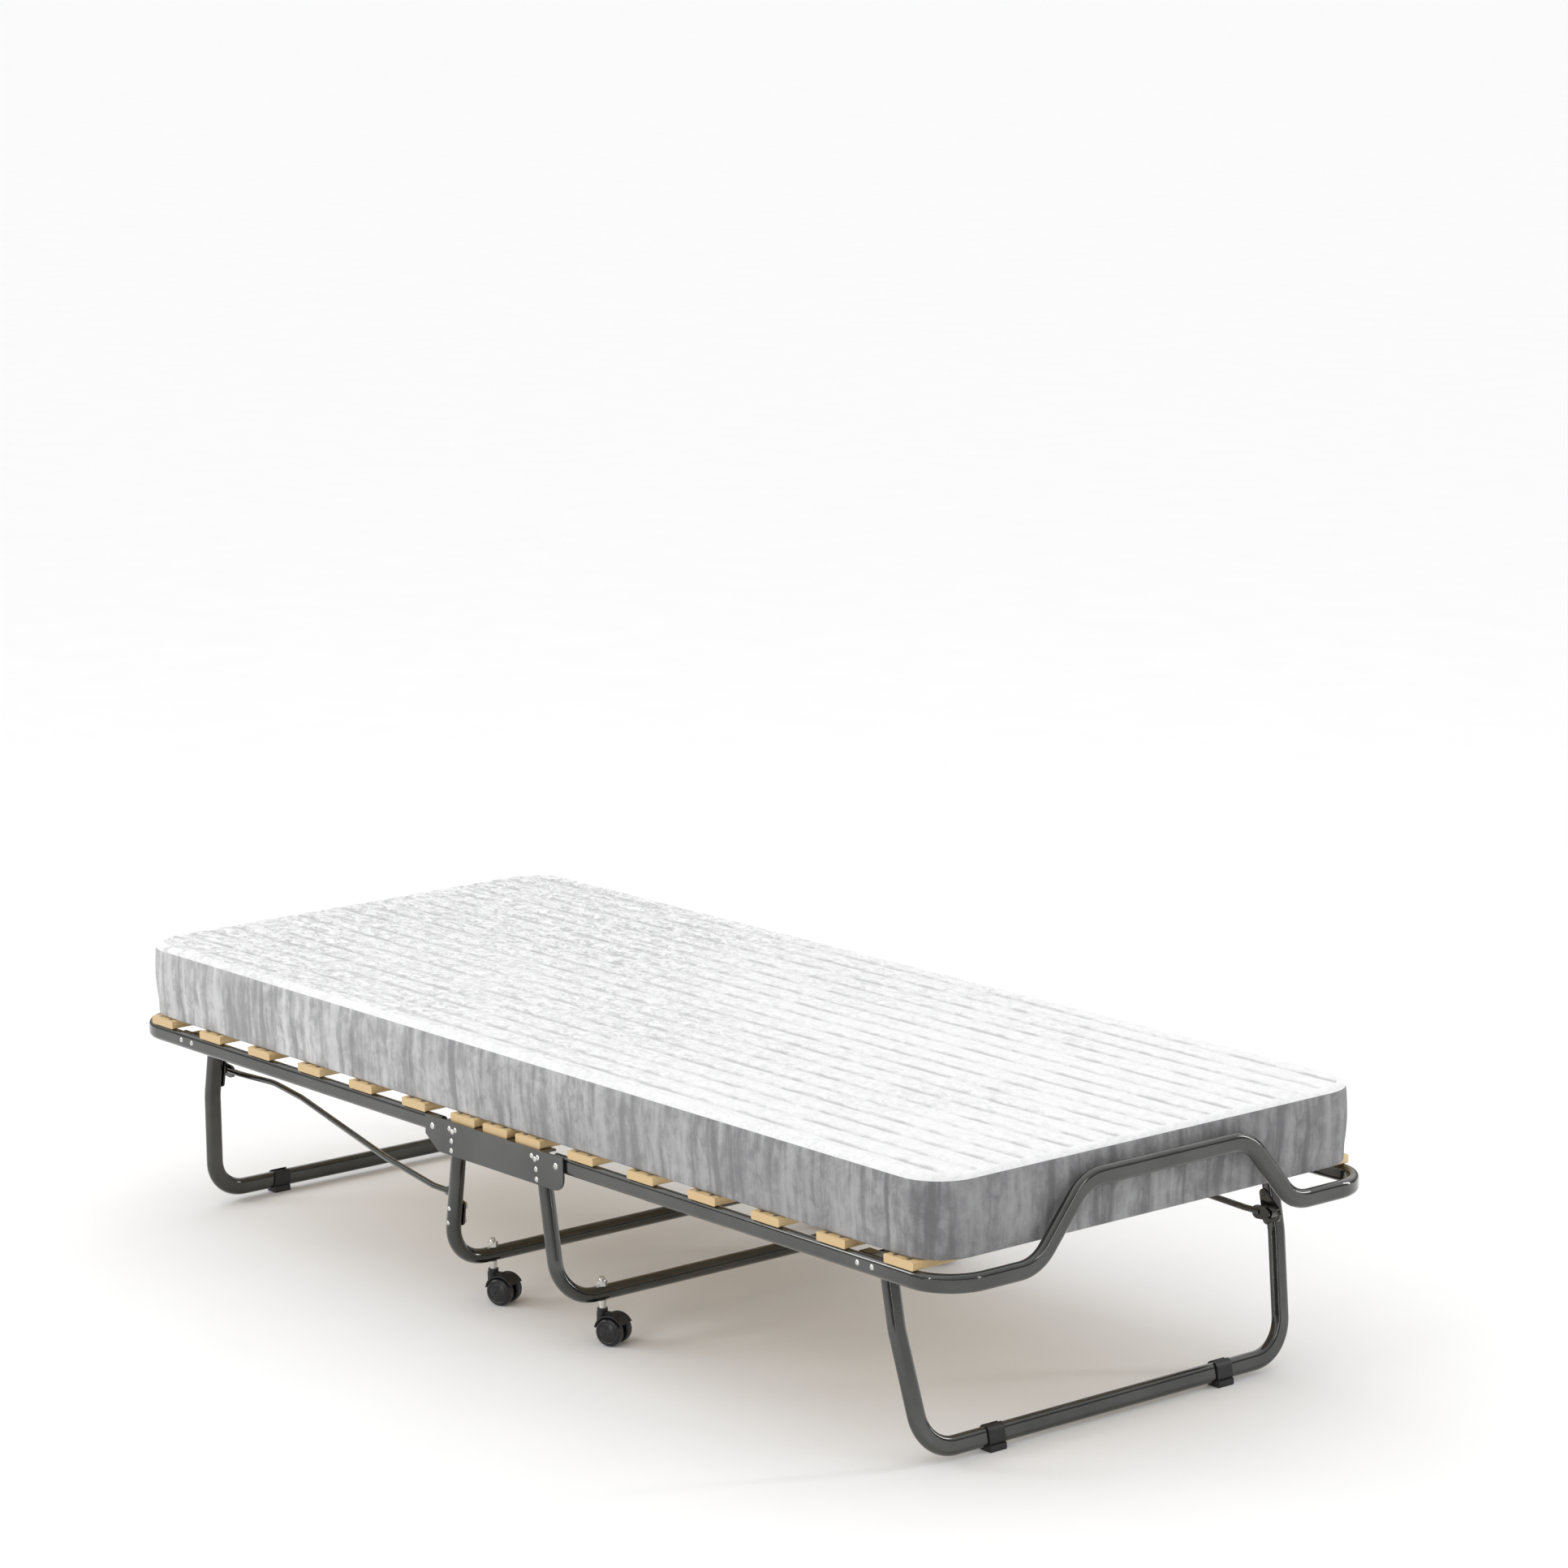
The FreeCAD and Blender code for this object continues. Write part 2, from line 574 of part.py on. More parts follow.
def leg_bracket(side):
    """Holds the end leg's bolt: a plate on the rail, a web inwards and an ear down."""
    rail_in = HALF_WIDTH - TUBE_W
    ear_out = END_Y + END_TUBE_H / 2 + 0.6 + PLATE_T
    x0, x1 = 779.0, 836.0
    z0, z1 = RAIL_TOP - 23.0, RAIL_TOP - 1.5
    plate = box(x0, x1, rail_in - PLATE_T, rail_in, z0, z1)
    web = box(x0, x1 - 18, ear_out - PLATE_T, rail_in, z1 - PLATE_T, z1)
    ear = box(x0, x1 - 18, ear_out - PLATE_T, ear_out, PIVOT_Z - 12, z1)
    body = plate.fuse([web, ear]).removeSplitter()
    body = body.cut(rod_y(END_PIVOT[0], END_PIVOT[1], BOLT_R + RUNNING,
                          ear_out - 5, ear_out + 1))
    for x in BRACKET_RIVET_X:
        body = body.cut(rod_y(x, BRACKET_RIVET_Z, RIVET_R, rail_in - 5, rail_in + 1))
    return body if side > 0 else mirror_y(body)


def leg_bracket_rivets(side):
    out = []
    rail_in = HALF_WIDTH - TUBE_W
    for x in BRACKET_RIVET_X:
        head = dome(x, BRACKET_RIVET_Z, -HALF_WIDTH, RIVET_HEAD_R, RIVET_HEAD_T)
        tail = rod_y(x, BRACKET_RIVET_Z, 3.6, -rail_in + PLATE_T, -rail_in + PLATE_T + 1.2)
        shank = rod_y(x, BRACKET_RIVET_Z, RIVET_R, -HALF_WIDTH, -rail_in + PLATE_T)
        rivet = head.fuse([shank, tail])
        out.append(rivet if side < 0 else mirror_y(rivet))
    return out


def leg_bolt(side):
    """The end leg hangs on this bolt, tight in the leg and free in the bracket."""
    x, z = END_PIVOT
    ear_out = END_Y + END_TUBE_H / 2 + 0.6 + PLATE_T
    leg_in = END_Y - END_TUBE_H / 2
    shank = rod_y(x, z, BOLT_R, leg_in, ear_out + 0.5)
    head = rod_y(x, z, 6.5, ear_out + 0.5, ear_out + 4.0)
    nut = hex_nut(x, z, 12.0, leg_in - 5.0, leg_in)
    bolt = shank.fuse([head, nut])
    return bolt if side > 0 else mirror_y(bolt)


def foot_clip(y, bar_centre, down, out):
    """A plastic clip round the crossbar, with a flat sole on the floor."""
    shell = 2.5
    length = 28.0
    base = bar_centre + V(0, y - length / 2, 0)
    outer = oval_wire(END_TUBE_W + 2 * shell, END_TUBE_H + 2 * shell, base, out, down)
    inner = oval_wire(END_TUBE_W, END_TUBE_H, base, out, down)
    ring = ring_face(outer, inner).extrude(V(0, length, 0))
    x, z = bar_centre.x, bar_centre.z
    sole = box(x - 9.5, x + 12.5, y - length / 2, y + length / 2, 0, END_GROUND + 4)
    core = Part.Face(inner).extrude(V(0, length, 0))
    body = ring.fuse(sole).cut(core)
    below = box(x - 60, x + 60, y - 40, y + 40, -30, 0)
    mouth = box(-3.5, 3.5, -length, length, 0, 40)
    mouth.rotate(ORIGIN, Y_AXIS, -END_LEAN)
    mouth.translate(V(x, y, z))
    return body.cut(below).cut(mouth).Solids[0]


# ---- castors ------------------------------------------------------------------------
def place_castor(shape, x, y):
    """From the castor's own frame, trailing along +X, to its place under the bed."""
    turned = shape.rotated(ORIGIN, Z_AXIS, CASTOR_YAW)
    return turned.translated(V(x, y, 0))


def castor_housing():
    """Web between the wheels, hood over them and the socket of the stem."""
    over = WHEEL_R + 4.0
    inside = WHEEL_R + 1.6
    web_half = 4.0
    hood_half = 15.0
    hood = rod_y(TRAIL, WHEEL_R, over, -hood_half, hood_half)
    hood = hood.cut(rod_y(TRAIL, WHEEL_R, inside, -hood_half - 1, hood_half + 1))
    keep = [V(TRAIL, -30, WHEEL_R), V(TRAIL - 60, -30, WHEEL_R + 12), V(TRAIL - 60, -30, 90),
            V(TRAIL + 42, -30, 90), V(TRAIL + 42, -30, WHEEL_R + 24), V(TRAIL, -30, WHEEL_R)]
    wedge = Part.Face(Part.makePolygon(keep)).extrude(V(0, 60, 0))
    hood = hood.common(wedge)
    web = rod_y(TRAIL, WHEEL_R, inside + 1.0, -web_half, web_half).common(wedge)
    web = web.fuse(rod_y(TRAIL, WHEEL_R, 8.0, -web_half, web_half))
    ring = box(-7.5, TRAIL, -web_half, web_half, WHEEL_R, 45.0)
    neck = Part.makeCylinder(7.5, HOUSING_TOP - 24.0, V(0, 0, 24.0))
    space = rod_y(TRAIL, WHEEL_R, inside, web_half + 0.4, 30)
    space = space.fuse(rod_y(TRAIL, WHEEL_R, inside, -30, -web_half - 0.4))
    top = web.fuse([ring, neck]).cut(space)
    body = top.fuse(hood).removeSplitter()
    body = body.cut(Part.makeCylinder(STEM_R + RUNNING, 30, V(0, 0, 30)))
    body = body.cut(rod_y(TRAIL, WHEEL_R, AXLE_R + RUNNING, -10, 10))
    return body.Solids[0]


def castor_wheel():
    """One wheel of the pair: a domed disc with a flat tread and a recessed rim."""
    r0 = AXLE_R
    y = WHEEL_IN
    profile = [V(r0, y, 0), V(WHEEL_R - 2.0, y, 0), V(WHEEL_R, y + 2.0, 0),
               V(WHEEL_R, WHEEL_OUT - 6.0, 0)]
    edges = [Part.LineSegment(profile[i], profile[i + 1]).toShape() for i in range(3)]
    shoulder = V(WHEEL_R - 4.5, WHEEL_OUT - 1.8, 0)
    edges.append(Part.Arc(profile[3], V(WHEEL_R - 1.4, WHEEL_OUT - 3.2, 0), shoulder).toShape())
    dent = V(WHEEL_R - 6.0, WHEEL_OUT - 2.6, 0)
    edges.append(Part.LineSegment(shoulder, dent).toShape())
    crown = V(r0, WHEEL_OUT, 0)
    edges.append(Part.Arc(dent, V(8.0, WHEEL_OUT - 0.6, 0), crown).toShape())
    edges.append(Part.LineSegment(crown, profile[0]).toShape())
    disc = Part.Face(Part.Wire(edges)).revolve(ORIGIN, Y_AXIS, 360)
    return disc.translated(V(TRAIL, 0, WHEEL_R))


def castor_wheels():
    wheel = castor_wheel()
    other = wheel.rotated(V(TRAIL, 0, WHEEL_R), Z_AXIS, 180)
    axle = rod_y(TRAIL, WHEEL_R, AXLE_R, -WHEEL_OUT + 0.5, WHEEL_OUT - 0.5)
    return [wheel, other, axle]


def castor_stem(x, y):
    """A zinc stem: collar between the housing and the crossbar, then up through it."""
    low = Part.makeCylinder(STEM_R, 20.0, V(x, y, 31.0))
    collar_z = HOUSING_TOP + 0.3
    bar_low = LEG_BAR[1] - LEG_TUBE_R
    collar = Part.makeCylinder(5.5, bar_low - collar_z, V(x, y, collar_z))
    shank = Part.makeCylinder(STEM_R, 34.0, V(x, y, bar_low))
    return low.fuse([collar, shank]).removeSplitter()


def castor_nut(x, y):
    """The acorn nut on top of the crossbar."""
    z0 = LEG_BAR[1] + LEG_TUBE_R - 0.6
    r = 13.0 / math.sqrt(3)
    pts = [V(x + r * math.cos(math.radians(60 * k)), y + r * math.sin(math.radians(60 * k)), z0)
           for k in range(7)]
    hexagon = Part.Face(Part.makePolygon(pts)).extrude(V(0, 0, 7.0))
    cap = Part.makeSphere(5.8, V(x, y, z0 + 6.5)).common(box(x - 9, x + 9, y - 9, y + 9,
                                                             z0 + 5, z0 + 20))
    bore = Part.makeCylinder(STEM_R, 34.0, V(x, y, LEG_BAR[1] - LEG_TUBE_R))
    bar = Part.makeCylinder(LEG_TUBE_R, 40, V(x, y - 20, LEG_BAR[1]), Y_AXIS)
    return hexagon.fuse(cap).cut(bore).cut(bar)


# ---- latch --------------------------------------------------------------------------
HUMP_Z = RAIL_Z + HUMP_RISE
BOW_IN = HALF_LENGTH - TUBE_W


def latch_bar():
    """Head half: a flat bar on the mattress side of the hump, with an open hook."""
    x0 = -BOW_IN + 0.4
    pivot = V(x0, LATCH_PIVOT_Y, HUMP_Z)
    end = V(x0, LATCH_PIVOT_Y + LATCH_LENGTH, HUMP_Z)
    bar = box(x0, x0 + LATCH_T, pivot.y, end.y, HUMP_Z - LATCH_R, HUMP_Z + LATCH_R)
    for p in (pivot, end):
        bar = bar.fuse(Part.makeCylinder(LATCH_R, LATCH_T, p, X_AXIS))
    mouth = Part.makeCylinder(STUD_R + 1.0, LATCH_T + 2, end - V(1, 0, 0), X_AXIS)
    throat = box(x0 - 1, x0 + LATCH_T + 1, end.y - STUD_R - 1, end.y + STUD_R + 1,
                 HUMP_Z, HUMP_Z + 30)
    hole = Part.makeCylinder(BOLT_R + RUNNING, LATCH_T + 2, pivot - V(1, 0, 0), X_AXIS)
    return bar.cut([mouth, throat, hole]).removeSplitter()


def latch_rivet():
    at = V(-BOW_IN, LATCH_PIVOT_Y, HUMP_Z)
    shank = Part.makeCylinder(BOLT_R, LATCH_T + 0.8, at, X_AXIS)
    head = Part.makeCylinder(7.0, 1.6, at + V(LATCH_T + 0.8, 0, 0), X_AXIS)
    return shank.fuse(head)


def latch_stud():
    """Foot half: the headed stud that the hook catches when both halves are up."""
    reach = HUMP_Z - PIVOT_Z
    gap = 2 * (PIVOT_X - reach)
    y = LATCH_PIVOT_Y + math.sqrt(LATCH_LENGTH ** 2 - gap ** 2)
    at = V(BOW_IN, y, HUMP_Z)
    print("latch angle", math.degrees(math.asin(gap / LATCH_LENGTH)), "stud y", y)
    shank = Part.makeCylinder(STUD_R, LATCH_T + 1.4, at, X_AXIS * -1)
    head = Part.makeCylinder(6.0, 1.6, at - V(LATCH_T + 1.4, 0, 0), X_AXIS * -1)
    return shank.fuse(head)


# ---- mattress -----------------------------------------------------------------------
def mattress_end():
    """Foot end of the mattress, lying on the foot half."""
    body = box(MATTRESS_FOLD + 0.2, MATTRESS_HALF_L, -MATTRESS_HALF_W, MATTRESS_HALF_W,
               MATTRESS_Z0, MATTRESS_Z1)
    corners = [e for e in body.Edges
               if e.BoundBox.XMin > MATTRESS_HALF_L - 1 and e.BoundBox.YLength < 1]
    corners = [e for e in corners if e.BoundBox.ZLength > 50]
    return body.makeFillet(MATTRESS_CORNER_R, corners)


def mattress_middle():
    return box(-MATTRESS_FOLD + 0.2, MATTRESS_FOLD - 0.2, -MATTRESS_HALF_W, MATTRESS_HALF_W,
               MATTRESS_Z0, MATTRESS_Z1)


# ---- write every node ---------------------------------------------------------------
plate = side_plate()
write("side_plate_front", plate)
write("side_plate_back", half_turn(plate))

leg = castor_leg()
write("castor_leg_foot", leg)
write("castor_leg_head", half_turn(leg))

pins = []
for s in (-1, 1):
    outside = -PLATE_IN - PLATE_T
    inside = -HALF_WIDTH + TUBE_W
    rivet_head = dome(s * PIVOT_X, PIVOT_Z, outside, 5.0, 2.2)
    rivet_body = rod_y(s * PIVOT_X, PIVOT_Z, BOLT_R, outside, inside + 0.6)
    rivet_tail = rod_y(s * PIVOT_X, PIVOT_Z, 6.0, inside + 0.6, inside + 2.6)
    rivet = rivet_head.fuse([rivet_body, rivet_tail])
    pins.append(rivet)
    pins.append(mirror_y(rivet))
write("fold_pivot_rivets", *pins)

for k, x in enumerate((-CENTRE_PITCH, 0.0, CENTRE_PITCH)):
    write("centre_slat_%d" % (k + 1), slat(x))
centre_screws = []
for x in (-CENTRE_PITCH, 0.0, CENTRE_PITCH):
    centre_screws += [screw(*place) for place in slat_screw_places(x)]
write("slat_screws_centre", *centre_screws)

bracket = link_bracket()
write("link_brackets", bracket, half_turn(bracket))
rivets = plate_rivets() + link_bracket_rivets(leg)
write("centre_rivets", *(rivets + [half_turn(r) for r in rivets]))
bolt = link_pivot_bolt()
write("link_pivot_bolts", bolt, half_turn(bolt))

stems, nuts = [], []
for sx in (-1, 1):
    for sy in (-1, 1):
        stems.append(castor_stem(sx * CASTOR_X, sy * CASTOR_Y))
        nuts.append(castor_nut(sx * CASTOR_X, sy * CASTOR_Y))
write("castor_stems", *stems)
write("castor_nuts", *nuts)
write("mattress_middle", mattress_middle())

frame = frame_tube()
leg, bar_centre, down, out = end_leg()
feet = [foot_clip(s * FOOT_Y, bar_centre, down, out) for s in (-1, 1)]
rod = link_rod()
ear = link_ear()
pin = link_pin()
ear_fixings = ear_rivets()
for end, turn in (("foot", lambda s: s), ("head", half_turn)):
    write("frame_" + end, turn(frame))
    screws = []
    for k in range(SLATS):
        x = SLAT_FIRST + k * SLAT_PITCH
        write("slat_%s_%d" % (end, k + 1), turn(slat(x)))
        screws += [turn(screw(*place)) for place in slat_screw_places(x)]
    write("slat_screws_" + end, *screws)
    write("leg_brackets_" + end, *[turn(leg_bracket(s)) for s in (-1, 1)])
    fixings = leg_bracket_rivets(-1) + leg_bracket_rivets(1)
    write("leg_bracket_rivets_" + end, *[turn(r) for r in fixings])
    write("mattress_" + end, turn(mattress_end()))
    write("end_leg_" + end, turn(leg))
    write("leg_feet_" + end, *[turn(f) for f in feet])
    write("link_ear_" + end, turn(ear))
    write("link_pin_" + end, turn(pin), *[turn(r) for r in ear_fixings])
    write("leg_bolts_" + end, *[turn(leg_bolt(s)) for s in (-1, 1)])
    write("link_rod_" + end, turn(rod))

write("latch_bar", latch_bar())
write("latch_rivet", latch_rivet())
write("latch_stud", latch_stud())

housing = castor_housing()
wheels = castor_wheels()
for end, sx in (("head", -1), ("foot", 1)):
    for side, sy in (("front", -1), ("back", 1)):
        x, y = sx * CASTOR_X, sy * CASTOR_Y
        write("castor_housing_%s_%s" % (end, side), place_castor(housing, x, y))
        write("castor_wheels_%s_%s" % (end, side), *[place_castor(w, x, y) for w in wheels])
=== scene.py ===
import math

import bmesh
import bpy
import numpy as np
from mathutils import Matrix, Vector


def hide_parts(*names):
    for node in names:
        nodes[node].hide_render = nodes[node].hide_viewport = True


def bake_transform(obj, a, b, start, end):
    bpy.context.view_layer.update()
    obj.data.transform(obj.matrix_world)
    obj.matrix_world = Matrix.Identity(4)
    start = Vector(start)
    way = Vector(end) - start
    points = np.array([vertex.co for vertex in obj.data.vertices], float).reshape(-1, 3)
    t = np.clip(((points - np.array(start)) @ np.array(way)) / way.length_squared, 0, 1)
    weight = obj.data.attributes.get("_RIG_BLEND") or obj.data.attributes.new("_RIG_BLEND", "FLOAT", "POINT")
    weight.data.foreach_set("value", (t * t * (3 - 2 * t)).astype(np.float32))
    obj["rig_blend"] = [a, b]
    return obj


# Looks of the folding rollaway bed: metres, +X to the foot end, +Z up, as the frame has it.
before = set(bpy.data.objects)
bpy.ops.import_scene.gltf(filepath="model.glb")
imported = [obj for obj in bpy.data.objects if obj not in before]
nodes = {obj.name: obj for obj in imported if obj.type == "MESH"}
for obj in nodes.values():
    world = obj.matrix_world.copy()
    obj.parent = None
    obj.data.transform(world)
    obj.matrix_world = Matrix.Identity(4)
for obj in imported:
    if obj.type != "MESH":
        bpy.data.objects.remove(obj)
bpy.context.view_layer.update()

# ---- sizes of the mattress ----------------------------------------------------------
CHANNEL = 0.0412           # pitch of the quilting seams
SEAM_PHASE = 0.5           # the bed's middle line lies on a roll, between two seams
SEAM_HALF = 0.0022         # cloth this near a seam is stitched down
ROLL = 0.0028              # height of a quilting roll before it is puffed up
MAT_HALF_L = 0.9415        # top edge, from the middle
MAT_HALF_W = 0.3875
MAT_CORNER = 0.066         # plan radius of a corner
EDGE_R = 0.013             # roll of the top edge
EDGE_FADE = 0.004          # the quilting dies out this close to the rolled edge
FLAT_L, FLAT_W, FLAT_R = MAT_HALF_L - EDGE_R, MAT_HALF_W - EDGE_R, MAT_CORNER - EDGE_R
Z_TOP, Z_SPLIT, Z_LOW = 0.4155, 0.3245, 0.3027      # top, joint of the two skins, underside
Z_EDGE = Z_TOP - EDGE_R    # top of the border
LEAN_IN = 0.003            # the border leans in towards its foot
BORDER_BELLY = 0.0025      # and bellies out half way up
SIDE_BULGE = 0.3           # share of the cloth's bulge that the firm border keeps
BULGE_RISE = 0.05          # height over which the border reaches that share
LOW_EDGE_R = 0.004         # roll of the bottom edge
LOW_INSET = 0.0005         # the lower skin's border stands this far inside the upper one's
PUFF_FRAMES, PUFF_CAP = 18, 0.012       # length of the cloth run, and the furthest a point moves
RIM_HOLD = 0.6             # how firmly the rim of the top is held in that run
FOOT_MIDDLE_U = 2.22       # distance along the rim to the middle of the foot end
FOLD_START, FOLD_END = 0.0, 0.35        # the upper skin bends between these distances
BASE_START, BASE_END = 0.118, 0.200     # and the lower skin between these

# ---- how finely the skins are divided
ROWS_PER_CHANNEL = 6
ROW_MARGIN = 0.02          # straight rows stop this far inside the rim
CORNER_ROWS = 8
COLUMNS = 237
STRAIGHT = 0.88            # share of the length where every row has the same columns
EDGE_STEPS, BORDER_STEPS = 4, 12
UPPER_BELOW = (0.08, 0.5, 1.0)                  # rows under a skin, as shares of the way in
LOWER_BELOW = (0.05, 0.2, 0.4, 0.6, 0.8, 1.0)
TOP, BORDER, BASE = 0, 1, 2                     # material slots of a skin
TINY = 1e-6
SHARP_SEAM = 0.7           # a seam between two cloths is an edge past this angle, radians


# ---- node helpers -------------------------------------------------------------------
def rgba(colour):
    """A colour with full alpha, from three numbers or one grey."""
    return tuple(colour) + (1,) if isinstance(colour, (tuple, list)) else (colour,) * 3 + (1,)


class Mat:
    """A procedural material with a Principled shader, and short names for its nodes."""

    def __init__(self, name, **shader):
        self.mat = bpy.data.materials.new(name)
        self.mat.use_nodes = True
        self.tree = self.mat.node_tree
        self.bsdf = self.tree.nodes["Principled BSDF"]
        self.out(**shader)

    def put(self, socket, value):
        """Link a socket to another, or set its value."""
        if isinstance(value, bpy.types.NodeSocket):
            self.tree.links.new(value, socket)
        else:
            socket.default_value = value

    def node(self, kind, **inputs):
        n = self.tree.nodes.new("ShaderNode" + kind)
        for key, value in inputs.items():
            self.put(n.inputs[key], value)
        return n

    def coords(self, scale=(1, 1, 1), kind="Object"):
        """Scaled coordinates, in metres before the scale."""
        source = self.node("TexCoord").outputs[kind]
        return self.node("Mapping", Vector=source, Scale=scale).outputs["Vector"]

    def noise(self, vector, scale, detail=3.0, rough=0.5, distort=0.0):
        n = self.node("TexNoise", Vector=vector, Scale=scale, Detail=detail, Roughness=rough,
                      Distortion=distort)
        return n.outputs["Fac"]

    def ramp(self, fac, *stops):
        """A colour ramp; stops are (position, colour or grey)."""
        n = self.node("ValToRGB", Fac=fac)
        elements = n.color_ramp.elements
        while len(elements) < len(stops):
            elements.new(0.5)
        for e, (at, colour) in zip(elements, stops):
            e.position = at
            e.color = rgba(colour)
        return n.outputs["Color"]

    def math(self, operation, *values):
        n = self.node("Math")
        n.operation = operation
        for socket, value in zip(n.inputs, values):
            self.put(socket, value)
        return n.outputs[0]

    def mix(self, fac, a, b, blend="MIX"):
        """Two colours mixed; the node's colour sockets are inputs 6 and 7 and output 2."""
        n = self.node("Mix")
        n.data_type = "RGBA"
        n.blend_type = blend
        self.put(n.inputs[0], fac)
        for socket, value in ((n.inputs[6], a), (n.inputs[7], b)):
            self.put(socket, value if isinstance(value, bpy.types.NodeSocket) else rgba(value))
        return n.outputs[2]

    def separate(self, vector):
        n = self.node("SeparateXYZ")
        self.put(n.inputs[0], vector)
        return n.outputs

    def bump(self, height, strength, distance):
        return self.node("Bump", Strength=strength, Distance=distance, Height=height).outputs["Normal"]

    def out(self, **sockets):
        """Set or link the shader's inputs, and give the finished material."""
        for key, value in sockets.items():
            self.put(self.bsdf.inputs[key.replace("_", " ")], value)
        return self.mat


# ---- materials ----------------------------------------------------------------------
def graphite():
    """Dark graphite metallic enamel under a clear coat: fine flake and soft orange peel."""
    m = Mat("graphite_enamel", Metallic=0.85, Coat_Weight=0.6, Coat_Roughness=0.07)
    v = m.coords()
    flake = m.noise(v, 2600, 1.0)
    cloud = m.noise(v, 9, 4.0)
    base = m.ramp(cloud, (0.35, (0.044, 0.046, 0.042)), (0.65, (0.072, 0.074, 0.068)))
    base = m.mix(m.ramp(flake, (0.5, 0.0), (0.7, 0.35)), base, (0.18, 0.18, 0.170))
    rough = m.ramp(m.noise(v, 60, 5.0, 0.6), (0.35, 0.10), (0.65, 0.17))
    peel = m.noise(v, 420, 2.0)
    return m.out(Base_Color=base, Roughness=rough, Normal=m.bump(peel, 0.06, 0.0004))


def black_paint():
    """Black paint, with wear that leaves it a little paler and duller."""
    m = Mat("black_paint", Metallic=0.25, Coat_Weight=0.2)
    v = m.coords()
    wear = m.noise(v, 90, 6.0, 0.65)
    base = m.ramp(wear, (0.35, (0.016, 0.016, 0.017)), (0.8, (0.045, 0.045, 0.045)))
    rough = m.ramp(wear, (0.3, 0.32), (0.8, 0.55))
    return m.out(Base_Color=base, Roughness=rough, Normal=m.bump(m.noise(v, 700, 2.0), 0.08, 0.0003))


def zinc():
    """Bright zinc with turning marks and a faint yellow passivation."""
    m = Mat("bright_zinc", Metallic=1.0)
    v = m.coords()
    tint = m.noise(v, 140, 4.0)
    base = m.ramp(tint, (0.3, (0.50, 0.50, 0.48)), (0.7, (0.74, 0.73, 0.68)))
    marks = m.noise(m.coords((1, 14, 1)), 420, 3.0)
    rough = m.ramp(marks, (0.3, 0.2), (0.75, 0.42))
    return m.out(Base_Color=base, Roughness=rough, Normal=m.bump(marks, 0.15, 0.0002))


def slat_wood():
    """Pale laminated slats: grain along Y, darker late wood, plies on the ends."""
    ply_thickness = 0.003
    m = Mat("slat_wood", Coat_Weight=0.12, Coat_Roughness=0.35)
    tone = m.noise(m.coords((7.4, 0.05, 0.0)), 1.0, 1.0)
    grain = m.noise(m.coords((150, 4.0, 60)), 1.0, 7.0, 0.62, 0.6)
    pores = m.noise(m.coords((900, 14, 900)), 1.0, 3.0, 0.7)
    base = m.ramp(grain, (0.36, (0.52, 0.335, 0.145)), (0.5, (0.72, 0.515, 0.250)),
                  (0.64, (0.80, 0.615, 0.340)))
    base = m.mix(m.ramp(tone, (0.35, 0.0), (0.7, 0.32)), base, (0.62, 0.43, 0.21))
    base = m.mix(m.ramp(pores, (0.62, 0.0), (0.8, 0.45)), base, (0.30, 0.18, 0.08))
    # the sawn ends are flatter and show the plies
    normal = m.separate(m.node("TexCoord").outputs["Normal"])
    end = m.math("GREATER_THAN", m.math("ABSOLUTE", normal["Y"]), 0.85)
    height = m.separate(m.coords())["Z"]
    ply = m.math("SINE", m.math("MULTIPLY", height, 2 * math.pi / ply_thickness))
    fibre = m.noise(m.coords((900, 900, 900)), 1.0, 3.0)
    ends = m.mix(m.ramp(ply, (0.35, 0.0), (0.75, 0.5)), (0.66, 0.475, 0.245), (0.52, 0.350, 0.165))
    ends = m.mix(m.ramp(fibre, (0.4, 0.0), (0.8, 0.35)), ends, (0.40, 0.26, 0.12))
    base = m.mix(end, base, ends)
    rough = m.ramp(grain, (0.3, 0.52), (0.7, 0.40))
    return m.out(Base_Color=base, Roughness=rough, Normal=m.bump(grain, 0.16, 0.0004))


def plastic(name, dark, light, rough_low, rough_high):
    """Black moulded plastic with a fine grain and paler scuffs."""
    m = Mat(name, Specular_IOR_Level=0.45)
    v = m.coords()
    scuff = m.noise(v, 160, 6.0, 0.65)
    base = m.ramp(scuff, (0.4, dark), (0.82, light))
    rough = m.ramp(scuff, (0.3, rough_low), (0.8, rough_high))
    return m.out(Base_Color=base, Roughness=rough, Normal=m.bump(m.noise(v, 1600, 2.0), 0.12, 0.0002))


def knit(m, uv, across, along, strength):
    """Height of fine knitted loops over a panel, from its UV in metres."""
    s = m.separate(uv)
    rows = m.math("SINE", m.math("MULTIPLY", s["X"], 2 * math.pi / across))
    cols = m.math("SINE", m.math("MULTIPLY", s["Y"], 2 * math.pi / along))
    loops = m.math("MULTIPLY", rows, cols)
    fuzz = m.noise(m.coords(), 1500, 3.0, 0.7)
    return m.math("ADD", m.math("MULTIPLY", loops, strength), fuzz)


